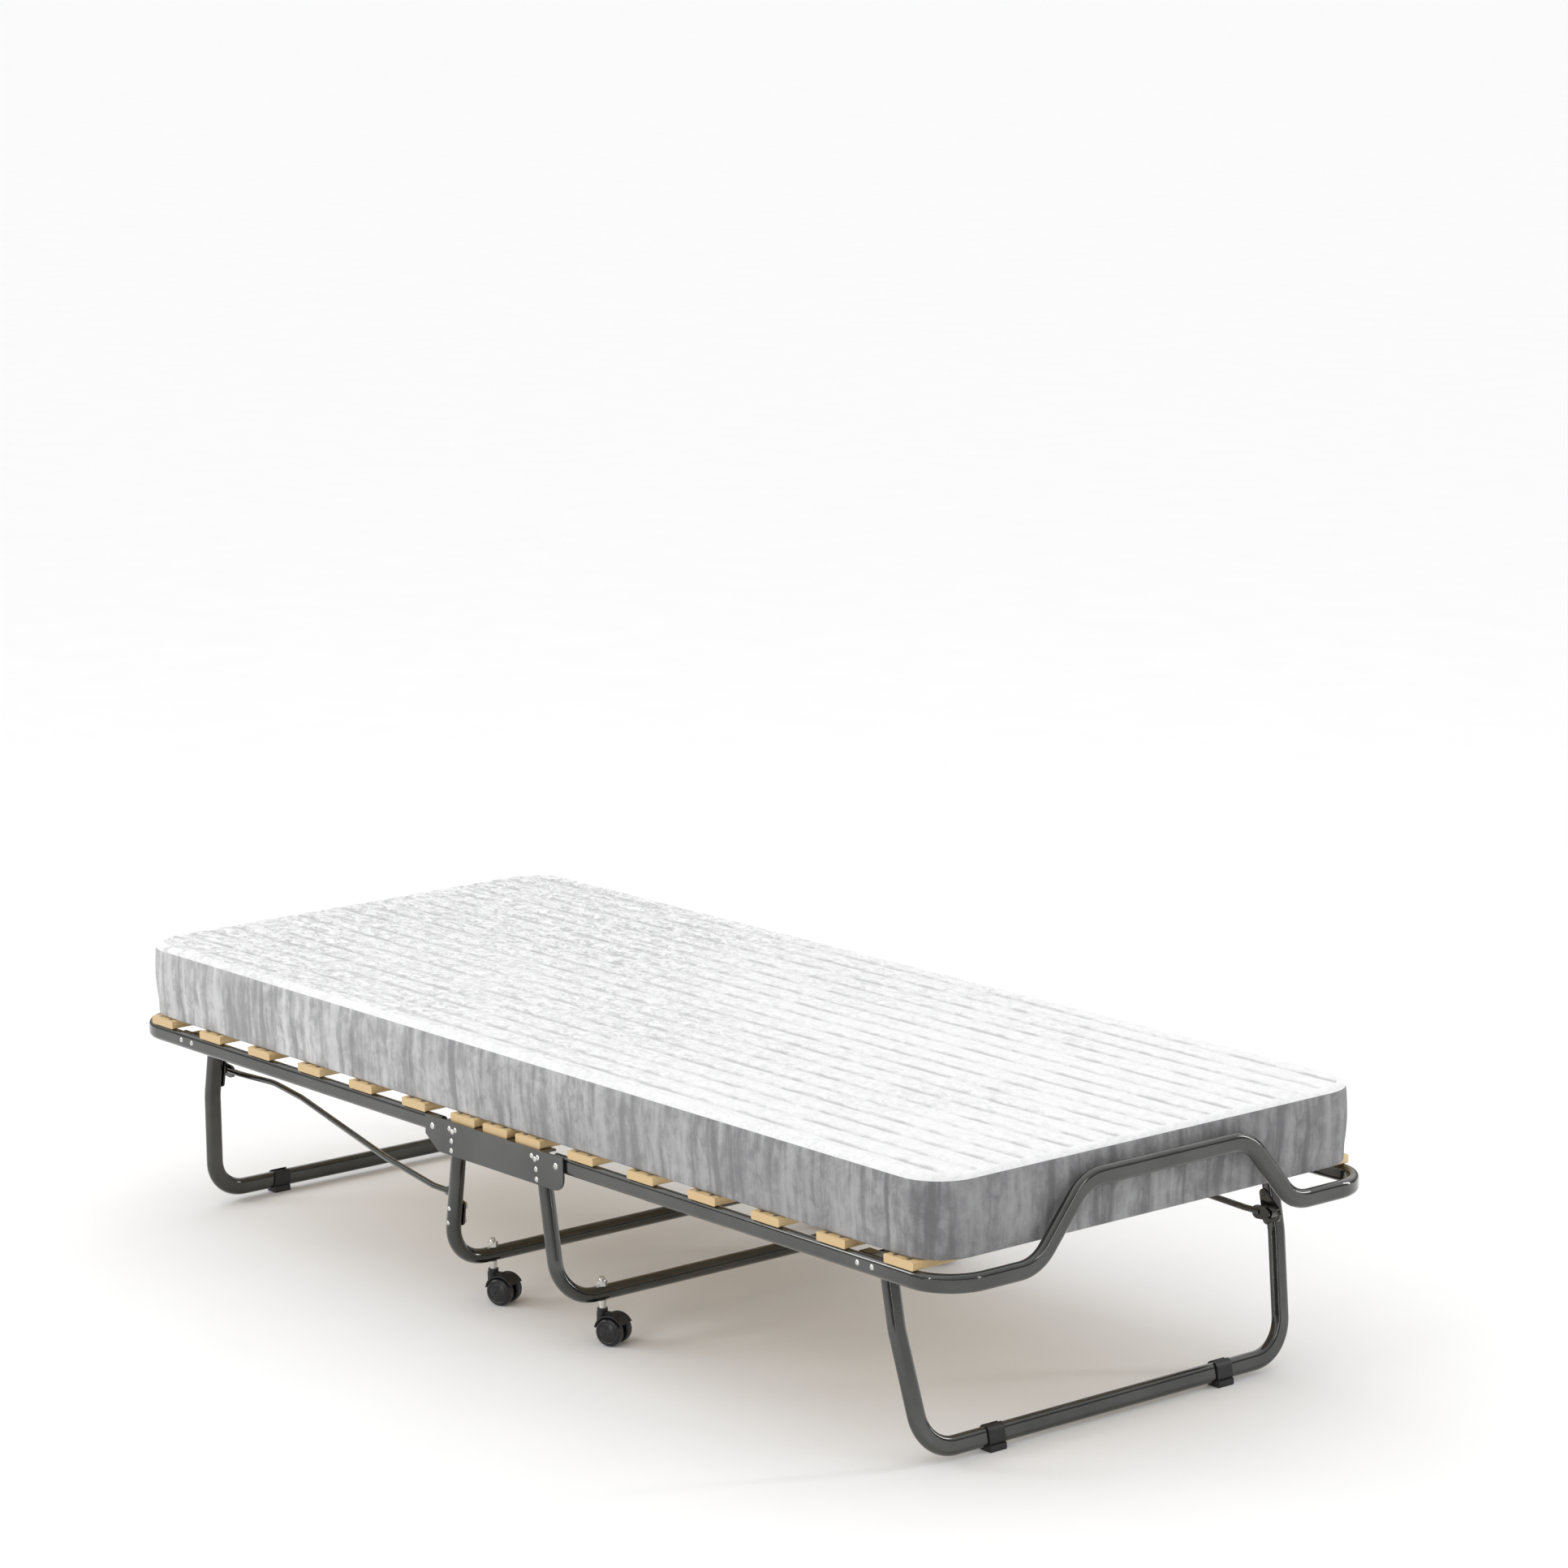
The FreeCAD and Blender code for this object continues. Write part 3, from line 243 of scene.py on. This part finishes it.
def cover_white():
    """Quilted white top: knitted cloth, with painted shade grey in the stitched valleys."""
    stitch_pitch = 0.006
    m = Mat("cover_white", Roughness=0.92, Sheen_Weight=0.25, Sheen_Roughness=0.5,
            Specular_IOR_Level=0.2)
    uv = m.coords(kind="UV")
    place = m.separate(uv)
    x, y = place["X"], place["Y"]
    # near is 1 on a seam and 0 between two; the seams wander a little, and the 100 whole
    # channels keep the phase above 0
    wander = m.noise(m.coords((30, 30, 1), "UV"), 1.0, 4.0, 0.6)
    wander = m.math("MULTIPLY", m.math("SUBTRACT", wander, 0.5), 0.28)
    phase = m.math("ADD", m.math("DIVIDE", y, CHANNEL), 100.0 + SEAM_PHASE)
    phase = m.math("FRACT", m.math("ADD", phase, wander))
    near = m.math("MULTIPLY", m.math("ABSOLUTE", m.math("SUBTRACT", phase, 0.5)), 2.0)
    dashes = m.noise(m.coords((13, 30, 1), "UV"), 1.0, 5.0, 0.65, 0.5)
    broad = m.noise(m.coords((2.2, 3, 1), "UV"), 1.0, 3.0)
    mottle = m.noise(m.coords((55, 105, 1), "UV"), 1.0, 6.0, 0.72, 1.0)
    # painted shade: the flecks grow stronger towards the head, so the top is painted greyer there, with
    # broad patches of random tone mixed in
    head_shade_and_patches = m.math("ADD", m.math("MULTIPLY", x, -0.40), m.math("MULTIPLY", broad, 0.9))
    head_shade_and_patches = m.ramp(head_shade_and_patches, (0.25, 0.25), (0.70, 1.0))
    # painted shade: the stitched valleys are greyed in the colour, broken into dashes along the seams
    valley = m.ramp(near, (0.66, 0.0), (0.95, 1.0))
    shade = m.math("MULTIPLY", valley, m.ramp(dashes, (0.42, 0.20), (0.58, 1.0)))
    # the flecks are the cloth's own mottle, strengthened towards the head as painted shade
    fleck_and_head_shade = m.math("MULTIPLY", m.ramp(mottle, (0.44, 0.0), (0.62, 1.0)), head_shade_and_patches)
    base = m.mix(m.math("MULTIPLY", fleck_and_head_shade, 0.92), (0.90, 0.90, 0.90), (0.45, 0.45, 0.46))
    base = m.mix(m.math("MULTIPLY", shade, 0.80), base, (0.40, 0.40, 0.41))
    stitch = m.math("SINE", m.math("MULTIPLY", x, 2 * math.pi / stitch_pitch))
    thread = m.math("MULTIPLY", m.ramp(near, (0.93, 0.0), (0.98, 1.0)),
                    m.ramp(stitch, (0.4, 0.0), (0.6, 1.0)))
    base = m.mix(m.math("MULTIPLY", thread, 0.5), base, (0.93, 0.93, 0.93))
    height = m.math("ADD", knit(m, uv, 0.0016, 0.0016, 0.35), m.math("MULTIPLY", dashes, 1.4))
    return m.out(Base_Color=base, Normal=m.bump(height, 0.5, 0.0012))


def border_grey():
    """Heather-grey knitted border with soft gathers that run up and down, and painted shade towards the foot
    end.
    """
    m = Mat("border_grey", Roughness=0.95, Sheen_Weight=0.3, Sheen_Roughness=0.5,
            Specular_IOR_Level=0.2)
    uv = m.coords(kind="UV")
    heather = m.noise(m.coords((55, 38, 1), "UV"), 1.0, 6.0, 0.68, 0.4)
    gathers = m.noise(m.coords((46, 4.5, 1), "UV"), 1.0, 4.0, 0.55, 0.25)
    broad = m.noise(m.coords((4.5, 2.5, 1), "UV"), 1.0, 3.0)
    fibre = m.noise(m.coords((1400, 500, 1), "UV"), 1.0, 3.0, 0.7)
    base = m.ramp(heather, (0.38, (0.360, 0.360, 0.366)), (0.62, (0.640, 0.640, 0.645)))
    base = m.mix(m.ramp(gathers, (0.50, 0.0), (0.64, 0.80)), base, (0.215, 0.215, 0.222))
    base = m.mix(m.ramp(gathers, (0.36, 0.65), (0.47, 0.0)), base, (0.76, 0.76, 0.76))
    base = m.mix(m.ramp(broad, (0.42, 0.0), (0.62, 0.30)), base, (0.34, 0.34, 0.35))
    base = m.mix(m.ramp(fibre, (0.45, 0.0), (0.7, 0.3)), base, (0.76, 0.76, 0.76))
    # painted shade: the border is darker towards the foot end
    away = m.math("ABSOLUTE", m.math("SUBTRACT", m.separate(uv)["X"], FOOT_MIDDLE_U))
    painted_foot_shade = m.ramp(m.math("MULTIPLY", away, 0.4), (0.15, 0.85), (0.75, 0.0))
    base = m.mix(painted_foot_shade, base, (0.42, 0.42, 0.425), "MULTIPLY")
    height = m.math("ADD", knit(m, uv, 0.0018, 0.0018, 0.4), m.math("MULTIPLY", gathers, 2.2))
    return m.out(Base_Color=base, Normal=m.bump(height, 0.55, 0.0012))


def base_cloth():
    """Underside: white knitted cloth with soft grey channels lengthwise."""
    m = Mat("base_cloth", Roughness=0.95, Sheen_Weight=0.15, Specular_IOR_Level=0.2)
    uv = m.coords(kind="UV")
    y = m.separate(uv)["Y"]
    sway = m.noise(m.coords((6, 16, 1), "UV"), 1.0, 4.0, 0.6)
    turn = m.math("ADD", m.math("DIVIDE", y, CHANNEL), m.math("MULTIPLY", sway, 0.5))
    stripe = m.math("SINE", m.math("MULTIPLY", turn, 2 * math.pi))
    stripe = m.math("MULTIPLY_ADD", stripe, 0.5, 0.5)
    weave = m.noise(m.coords((180, 180, 1), "UV"), 1.0, 6.0, 0.72)
    patch = m.noise(m.coords((26, 40, 1), "UV"), 1.0, 5.0, 0.65)
    base = m.ramp(stripe, (0.05, (0.54, 0.54, 0.55)), (0.55, (0.84, 0.84, 0.84)))
    base = m.mix(m.ramp(patch, (0.42, 0.0), (0.64, 0.45)), base, (0.70, 0.70, 0.71))
    base = m.mix(m.ramp(weave, (0.45, 0.0), (0.7, 0.35)), base, (0.58, 0.58, 0.59))
    height = m.math("ADD", weave, m.math("MULTIPLY", stripe, 3.0))
    return m.out(Base_Color=base, Normal=m.bump(height, 0.4, 0.0012))


# ---- mattress -----------------------------------------------------------------------
def plan_rows():
    """Row positions across the mattress: evenly over its channels, then round the corner by angle."""
    step = CHANNEL / ROWS_PER_CHANNEL
    last = math.floor((FLAT_W - ROW_MARGIN) / step)
    straight = np.arange(-last, last + 1) * step
    corner_y = FLAT_W - FLAT_R
    first_angle = math.asin((last * step - corner_y) / FLAT_R)
    angles = np.linspace(first_angle, math.pi / 2, CORNER_ROWS + 1)[1:]
    turned = corner_y + FLAT_R * np.sin(angles)
    return np.concatenate([-turned[::-1], straight, turned])


def plan():
    """Rows of points over the flat of the top, (rows, columns, 2), ending on its rounded rim."""
    ys = plan_rows()
    over = np.clip(np.abs(ys) - (FLAT_W - FLAT_R), 0, FLAT_R)
    ends = FLAT_L - FLAT_R + np.sqrt(np.maximum(FLAT_R * FLAT_R - over * over, 0))
    us = np.linspace(-1, 1, COLUMNS)
    tail = np.abs(us) > STRAIGHT
    share = (np.abs(us) - STRAIGHT) / (1 - STRAIGHT)
    points = np.zeros((len(ys), len(us), 2))
    for row, y, end in zip(points, ys, ends):
        fitted = np.sign(us) * (STRAIGHT * FLAT_L + share * (end - STRAIGHT * FLAT_L))
        row[:, 0] = np.where(tail, fitted, us * FLAT_L)
        row[:, 1] = y
    return points


def rim_normals(rim):
    """Outward plan normals of rim points of the rounded rectangle."""
    corner = np.array([FLAT_L - FLAT_R, FLAT_W - FLAT_R])
    outward = rim - np.clip(rim, -corner, corner)
    return outward / np.maximum(np.linalg.norm(outward, axis=1, keepdims=True), TINY)


def rim_order(rows, columns):
    """(row, column) of each point on a grid's rim, once round."""
    south = [(0, c) for c in range(columns)]
    east = [(r, columns - 1) for r in range(1, rows)]
    north = [(rows - 1, c) for c in range(columns - 2, -1, -1)]
    west = [(r, 0) for r in range(rows - 2, 0, -1)]
    return south + east + north + west


def quilt_drop(y):
    """0 on top of a quilting roll, 1 in a seam."""
    phase = y / CHANNEL + SEAM_PHASE
    return 1 - np.sqrt(np.abs(np.sin(math.pi * phase)))


def seam_distance(y):
    """Distance across the bed to the nearest quilting seam."""
    phase = (y / CHANNEL + SEAM_PHASE) % 1.0
    return np.minimum(phase, 1 - phase) * CHANNEL


def shell(grid, z_grid, profile):
    """Vertices, faces, UVs, material slots and last ring of a grid with a skirt down its side.

    profile: (outward offset, height, slot) of each row of the skirt, whose first row is the
    rim of the grid."""
    rows, columns, _ = grid.shape
    verts = np.zeros((rows * columns, 3))
    verts[:, :2] = grid.reshape(-1, 2)
    verts[:, 2] = z_grid.reshape(-1)
    faces, uvs, slots = [], [], []
    index = np.arange(rows * columns).reshape(rows, columns)
    for r in range(rows - 1):
        for c in range(columns - 1):
            quad = [index[r, c], index[r, c + 1], index[r + 1, c + 1], index[r + 1, c]]
            faces.append(quad)
            uvs.append([tuple(verts[i, :2]) for i in quad])
            slots.append(TOP)
    ring = np.array([index[place] for place in rim_order(rows, columns)])
    rim = verts[ring, :2]
    normal = rim_normals(rim)
    run = np.linalg.norm(np.roll(rim, -1, 0) - rim, axis=1)
    around = np.concatenate([[0], np.cumsum(run)])
    parts = [verts]
    last, last_z = ring, verts[ring, 2]
    made = len(verts)
    for offset, height, slot in profile:
        row = np.full((len(ring), 3), height)
        row[:, :2] = rim + normal * offset
        parts.append(row)
        here = np.arange(made, made + len(ring))
        made += len(ring)
        for k in range(len(ring)):
            j = (k + 1) % len(ring)
            faces.append([last[k], here[k], here[j], last[j]])
            u0, u1, v0 = around[k], around[k + 1], last_z[k]
            uvs.append([(u0, v0), (u0, height), (u1, height), (u1, v0)])
            slots.append(slot)
        last, last_z = here, row[:, 2]
    return np.concatenate(parts), faces, uvs, slots, last


def close_below(verts, faces, uvs, slots, ring, height, shares):
    """A flat underside: rows of the last ring drawn in to the mattress's middle line."""
    table, last = list(map(tuple, verts)), ring
    rim = verts[ring]
    spine = MAT_HALF_L - MAT_HALF_W
    goal = np.stack([np.clip(rim[:, 0], -spine, spine), np.zeros(len(rim))], axis=1)
    for share in shares:
        row = np.full((len(ring), 3), height)
        row[:, :2] = rim[:, :2] * (1 - share) + goal * share
        here = np.arange(len(table), len(table) + len(ring))
        table.extend(map(tuple, row))
        for k in range(len(ring)):
            j = (k + 1) % len(ring)
            quad = [last[k], here[k], here[j], last[j]]
            faces.append(quad)
            uvs.append([table[i][:2] for i in quad])
            slots.append(BASE)
        last = here
    return np.array(table), faces, uvs, slots


def build_mesh(name, verts, faces, uvs, slots):
    """An object with one smooth mesh; rest_x keeps each point's X from before the puffing."""
    mesh = bpy.data.meshes.new(name)
    mesh.from_pydata([tuple(v) for v in verts], [], [list(map(int, f)) for f in faces])
    layer = mesh.uv_layers.new(name="UVMap")
    flat = np.array([c for f in uvs for uv in f for c in uv], np.float32)
    layer.data.foreach_set("uv", flat)
    mesh.polygons.foreach_set("material_index", np.array(slots, np.int32))
    mesh.polygons.foreach_set("use_smooth", np.ones(len(faces), bool))
    rest = mesh.attributes.new("rest_x", "FLOAT", "POINT")
    rest.data.foreach_set("value", np.asarray(verts[:, 0], np.float32))
    mesh.update()
    obj = bpy.data.objects.new(name, mesh)
    bpy.context.scene.collection.objects.link(obj)
    return obj


def top_surface(grid):
    """Heights of the quilted top, and the profile of its rolled edge and border."""
    y = grid[:, :, 1]
    inside = np.clip((FLAT_W - np.abs(y)) / EDGE_FADE, 0, 1)
    z = Z_TOP - ROLL * quilt_drop(y) * inside
    profile = []
    for k in range(1, EDGE_STEPS + 1):
        a = math.radians(90 * k / EDGE_STEPS)
        slot = TOP if k < EDGE_STEPS else BORDER
        profile.append((EDGE_R * math.sin(a), Z_TOP - EDGE_R * (1 - math.cos(a)), slot))
    for k in range(1, BORDER_STEPS + 1):
        t = k / BORDER_STEPS
        height = Z_EDGE + (Z_SPLIT - Z_EDGE) * t
        lean = LEAN_IN * (Z_EDGE - height) / (Z_EDGE - Z_LOW)
        profile.append((EDGE_R - lean + BORDER_BELLY * math.sin(math.pi * t), height, BORDER))
    return z, profile


def top_pins(grid, ring):
    """Cloth pins: the quilting seams, the edge seam and the foot of the border; the rim half held."""
    rows, columns, _ = grid.shape
    pins = {int(i): 1.0 for i in ring}
    rim = [r * columns + c for r, c in rim_order(rows, columns)]
    edge_seam = rows * columns + (EDGE_STEPS - 1) * len(rim)
    pins.update((i, 1.0) for i in range(edge_seam, edge_seam + len(rim)))
    pins.update((i, RIM_HOLD) for i in rim)
    for r, y in enumerate(grid[:, 0, 1]):
        if seam_distance(y) < SEAM_HALF and abs(y) < MAT_HALF_W - ROW_MARGIN:
            pins.update((r * columns + c, 1.0) for c in range(columns))
    return pins


def puff(obj, pins, share):
    """Blow the skin up a little as cloth, held at pins, and keep a share of it at each vertex."""
    before = np.array([v.co for v in obj.data.vertices])
    group = obj.vertex_groups.new(name="pins")
    for i, weight in pins.items():
        group.add([i], weight, "REPLACE")
    cloth = obj.modifiers.new("puff", "CLOTH")
    s = cloth.settings
    s.quality = 4
    s.mass = 0.25
    s.tension_stiffness = s.compression_stiffness = 18
    s.shear_stiffness = 8
    s.bending_stiffness = 0.35
    s.air_damping = 2.0
    s.use_pressure = True
    s.uniform_pressure_force = 3.0
    s.shrink_min = -0.022
    s.vertex_group_mass = "pins"
    s.effector_weights.gravity = 0
    cloth.collision_settings.use_collision = False
    cloth.point_cache.frame_start, cloth.point_cache.frame_end = 1, PUFF_FRAMES
    scene = bpy.context.scene
    for f in range(1, PUFF_FRAMES + 1):
        scene.frame_set(f)
    dg = bpy.context.evaluated_depsgraph_get()
    after = np.array([v.co for v in obj.evaluated_get(dg).data.vertices])
    obj.modifiers.remove(cloth)
    obj.vertex_groups.remove(group)
    scene.frame_set(1)
    move = after - before
    far = np.linalg.norm(move, axis=1, keepdims=True)
    move *= np.minimum(1, PUFF_CAP / np.maximum(far, 1e-9)) * share[:, None]
    obj.data.vertices.foreach_set("co", (before + move).astype(np.float32).ravel())
    obj.data.update()


def keep_half(source, name, side, first_below):
    """One end of a skin, cut at X = 0 along its own edges, closed there and along its spine."""
    obj = source.copy()
    obj.data = source.data.copy()
    obj.name = obj.data.name = name
    bpy.context.scene.collection.objects.link(obj)
    bm = bmesh.new()
    bm.from_mesh(obj.data)
    rest = bm.verts.layers.float["rest_x"]
    spine = [v for v in bm.verts if abs(v.co.y) < TINY and v.index >= first_below]
    bmesh.ops.remove_doubles(bm, verts=spine, dist=1e-5)
    drop = [f for f in bm.faces if side * sum(v[rest] for v in f.verts) < 0]
    bmesh.ops.delete(bm, geom=drop, context="FACES")
    middle = [e for e in bm.edges if e.is_boundary and all(abs(v[rest]) < TINY for v in e.verts)]
    for f in bmesh.ops.edgeloop_fill(bm, edges=middle)["faces"]:
        f.material_index = BASE
        f.smooth = False
        for e in f.edges:
            e.smooth = False
    bmesh.ops.recalc_face_normals(bm, faces=bm.faces)
    for e in bm.edges:
        slots = {f.material_index for f in e.link_faces}
        if len(slots) == 2 and e.calc_face_angle(0.0) > SHARP_SEAM:
            e.smooth = False
    bm.to_mesh(obj.data)
    bm.free()
    return obj


def upper_skin(grid):
    """The quilted top and the border, closed at the split and puffed up; and its first point below."""
    z, profile = top_surface(grid)
    verts, faces, uvs, slots, ring = shell(grid, z, profile)
    first_below = len(verts)
    pins = top_pins(grid, ring)
    verts, faces, uvs, slots = close_below(verts, faces, uvs, slots, ring, Z_SPLIT, UPPER_BELOW)
    pins.update((i, 1.0) for i in range(first_below, len(verts)))
    skin = build_mesh("mattress_upper", verts, faces, uvs, slots)
    side = np.arange(len(verts)) >= grid.shape[0] * grid.shape[1]
    rise = np.clip((verts[:, 2] - Z_SPLIT) / BULGE_RISE, 0, 1)
    share = np.where(side, SIDE_BULGE * rise, 1.0)
    puff(skin, pins, share)
    return skin, first_below


def lower_skin(grid):
    """The thin part that lies on the slats, closed below; and its first point below."""
    foot = EDGE_R - LEAN_IN * (Z_EDGE - Z_SPLIT) / (Z_EDGE - Z_LOW)
    side = foot - LOW_INSET
    profile = [(foot, Z_SPLIT, TOP), (side, Z_LOW + LOW_EDGE_R, BORDER)]
    for k in range(1, EDGE_STEPS + 1):
        a = math.radians(90 * k / EDGE_STEPS)
        profile.append((side - LOW_EDGE_R * (1 - math.cos(a)),
                        Z_LOW + LOW_EDGE_R * (1 - math.sin(a)), BORDER))
    verts, faces, uvs, slots, ring = shell(grid, np.full(grid.shape[:2], Z_SPLIT), profile)
    first_below = len(verts)
    verts, faces, uvs, slots = close_below(verts, faces, uvs, slots, ring, Z_LOW, LOWER_BELOW)
    return build_mesh("mattress_lower", verts, faces, uvs, slots), first_below


def mattress():
    """Two closed skins, each cut at the middle: the thick upper part folds in a wide bend,
    the thin lower part stays on the slats and folds over the hinges."""
    looks = cover_white(), border_grey(), base_cloth()
    grid = plan()
    upper, upper_below = upper_skin(grid)
    lower, lower_below = lower_skin(grid)
    for source, first_below, fill, start, end in (
            (upper, upper_below, 0.85, FOLD_START, FOLD_END),
            (lower, lower_below, 0.7, BASE_START, BASE_END)):
        for look in looks:
            source.data.materials.append(look)
        for side, tail in ((1, "foot"), (-1, "head")):
            half = keep_half(source, "%s_%s" % (source.name, tail), side, first_below)
            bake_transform(half, "centre", "half_" + tail, (side * start, 0, 0), (side * end, 0, 0))
            if source is upper:
                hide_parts("mattress_" + tail)
            if source is upper and side > 0:
                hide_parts("mattress_middle")
        bpy.data.objects.remove(source)


# ---- CAD nodes ----------------------------------------------------------------------
def finish_nodes():
    """Every node of the frame gets its material, by the first start in kinds that fits its name."""
    looks = {
        "graphite": graphite(),
        "black": black_paint(),
        "zinc": zinc(),
        "wood": slat_wood(),
        "moulded": plastic("moulded_plastic", (0.009, 0.009, 0.010), (0.026, 0.026, 0.027), 0.38, 0.58),
        "wheel": plastic("wheel_nylon", (0.009, 0.009, 0.010), (0.028, 0.028, 0.028), 0.25, 0.40),
    }
    kinds = (("slat_screws", "zinc"), ("slat_", "wood"), ("centre_slat", "wood"),
             ("castor_housing", "moulded"), ("castor_wheels", "wheel"), ("leg_feet", "moulded"),
             ("latch_bar", "black"), ("castor_nuts", "zinc"), ("castor_stems", "zinc"),
             ("fold_pivot", "zinc"), ("centre_rivets", "zinc"), ("latch_", "zinc"),
             ("leg_bracket_rivets", "zinc"))
    for name, obj in nodes.items():
        kind = next((look for start, look in kinds if name.startswith(start)), "graphite")
        obj.data.materials.clear()
        obj.data.materials.append(looks[kind])


# ---- stage --------------------------------------------------------------------------
def pale_floor():
    """A plain pale floor, far wider than the view, just under the feet and wheels."""
    half, drop = 250.0, 0.0004
    mesh = bpy.data.meshes.new("floor")
    mesh.from_pydata([(-half, -half, 0), (half, -half, 0), (half, half, 0), (-half, half, 0)],
                     [], [(0, 1, 2, 3)])
    floor = bpy.data.objects.new("floor", mesh)
    bpy.context.scene.collection.objects.link(floor)
    m = Mat("floor_pale", Roughness=0.9, Specular_IOR_Level=0.1)
    grain = m.noise(m.coords(), 6.0, 4.0)
    mesh.materials.append(m.out(Base_Color=m.ramp(grain, (0.2, 0.86), (0.8, 0.88))))
    floor.location.z = -drop


def area_light(name, place, target, size, power):
    light = bpy.data.lights.new(name, "AREA")
    light.shape = "RECTANGLE"
    light.size, light.size_y = size
    light.energy = power
    obj = bpy.data.objects.new(name, light)
    obj.location = place
    aim = Vector(target) - Vector(place)
    obj.rotation_euler = aim.to_track_quat("-Z", "Y").to_euler()
    bpy.context.scene.collection.objects.link(obj)


def lights():
    """A soft key from the head end, and narrow strips that draw lines along the tubes."""
    area_light("key", (-2.4, -3.2, 2.4), (-0.3, 0, 0.3), (1.2, 1.2), 30)
    area_light("front_strip", (1.2, -4.2, 1.3), (0.2, 0, 0.3), (0.3, 2.0), 20)
    area_light("foot_strip", (4.4, 0.9, 1.2), (0.4, 0, 0.3), (0.25, 2.0), 12)
    area_light("back_strip", (2.6, 3.4, 1.4), (0.3, 0, 0.3), (0.3, 2.2), 34)


def studio():
    """A bright ceiling over darker walls, dimmer past the foot end: they draw the metal's edges."""
    by_height = (0.14, 0.15), (0.46, 1.0)
    by_length = (0.05, 1.0), (0.65, 0.62)
    brightness = 1.36
    world = bpy.data.worlds.new("studio")
    world.use_nodes = True
    tree = world.node_tree
    direction = tree.nodes.new("ShaderNodeTexCoord")
    split = tree.nodes.new("ShaderNodeSeparateXYZ")
    tree.links.new(direction.outputs["Generated"], split.inputs[0])
    shades = []
    for axis, stops in (("Z", by_height), ("X", by_length)):
        ramp = tree.nodes.new("ShaderNodeValToRGB")
        for element, (at, grey) in zip(ramp.color_ramp.elements, stops):
            element.position = at
            element.color = rgba(grey)
        tree.links.new(split.outputs[axis], ramp.inputs["Fac"])
        shades.append(ramp.outputs["Color"])
    both = tree.nodes.new("ShaderNodeMix")
    both.data_type = "RGBA"
    both.blend_type = "MULTIPLY"
    both.inputs[0].default_value = 1.0
    tree.links.new(shades[0], both.inputs[6])
    tree.links.new(shades[1], both.inputs[7])
    background = tree.nodes["Background"]
    tree.links.new(both.outputs[2], background.inputs["Color"])
    background.inputs["Strength"].default_value = brightness
    bpy.context.scene.world = world
    bpy.context.scene.view_settings.view_transform = "Standard"


def camera():
    """The viewpoint: from the front at the foot end, a little above."""
    place = Vector((5.45781, -4.28522, 2.06652))
    yaw, pitch, roll = math.radians(50.96), math.radians(-10.82), math.radians(-0.76)
    ahead = Vector((-math.sin(yaw) * math.cos(pitch), math.cos(yaw) * math.cos(pitch), math.sin(pitch)))
    level = Vector((math.cos(yaw), math.sin(yaw), 0))
    upright = level.cross(ahead)
    right = level * math.cos(roll) + upright * math.sin(roll)
    up = upright * math.cos(roll) - level * math.sin(roll)
    data = bpy.data.cameras.new("camera")
    data.sensor_width = 36.0
    data.lens = 112.58
    data.clip_start, data.clip_end = 0.1, 600.0
    cam = bpy.data.objects.new("camera", data)
    cam.matrix_world = Matrix.Translation(place) @ Matrix((right, up, -ahead)).transposed().to_4x4()
    bpy.context.scene.collection.objects.link(cam)
    bpy.context.scene.camera = cam


mattress()
finish_nodes()
pale_floor()
lights()
studio()
camera()
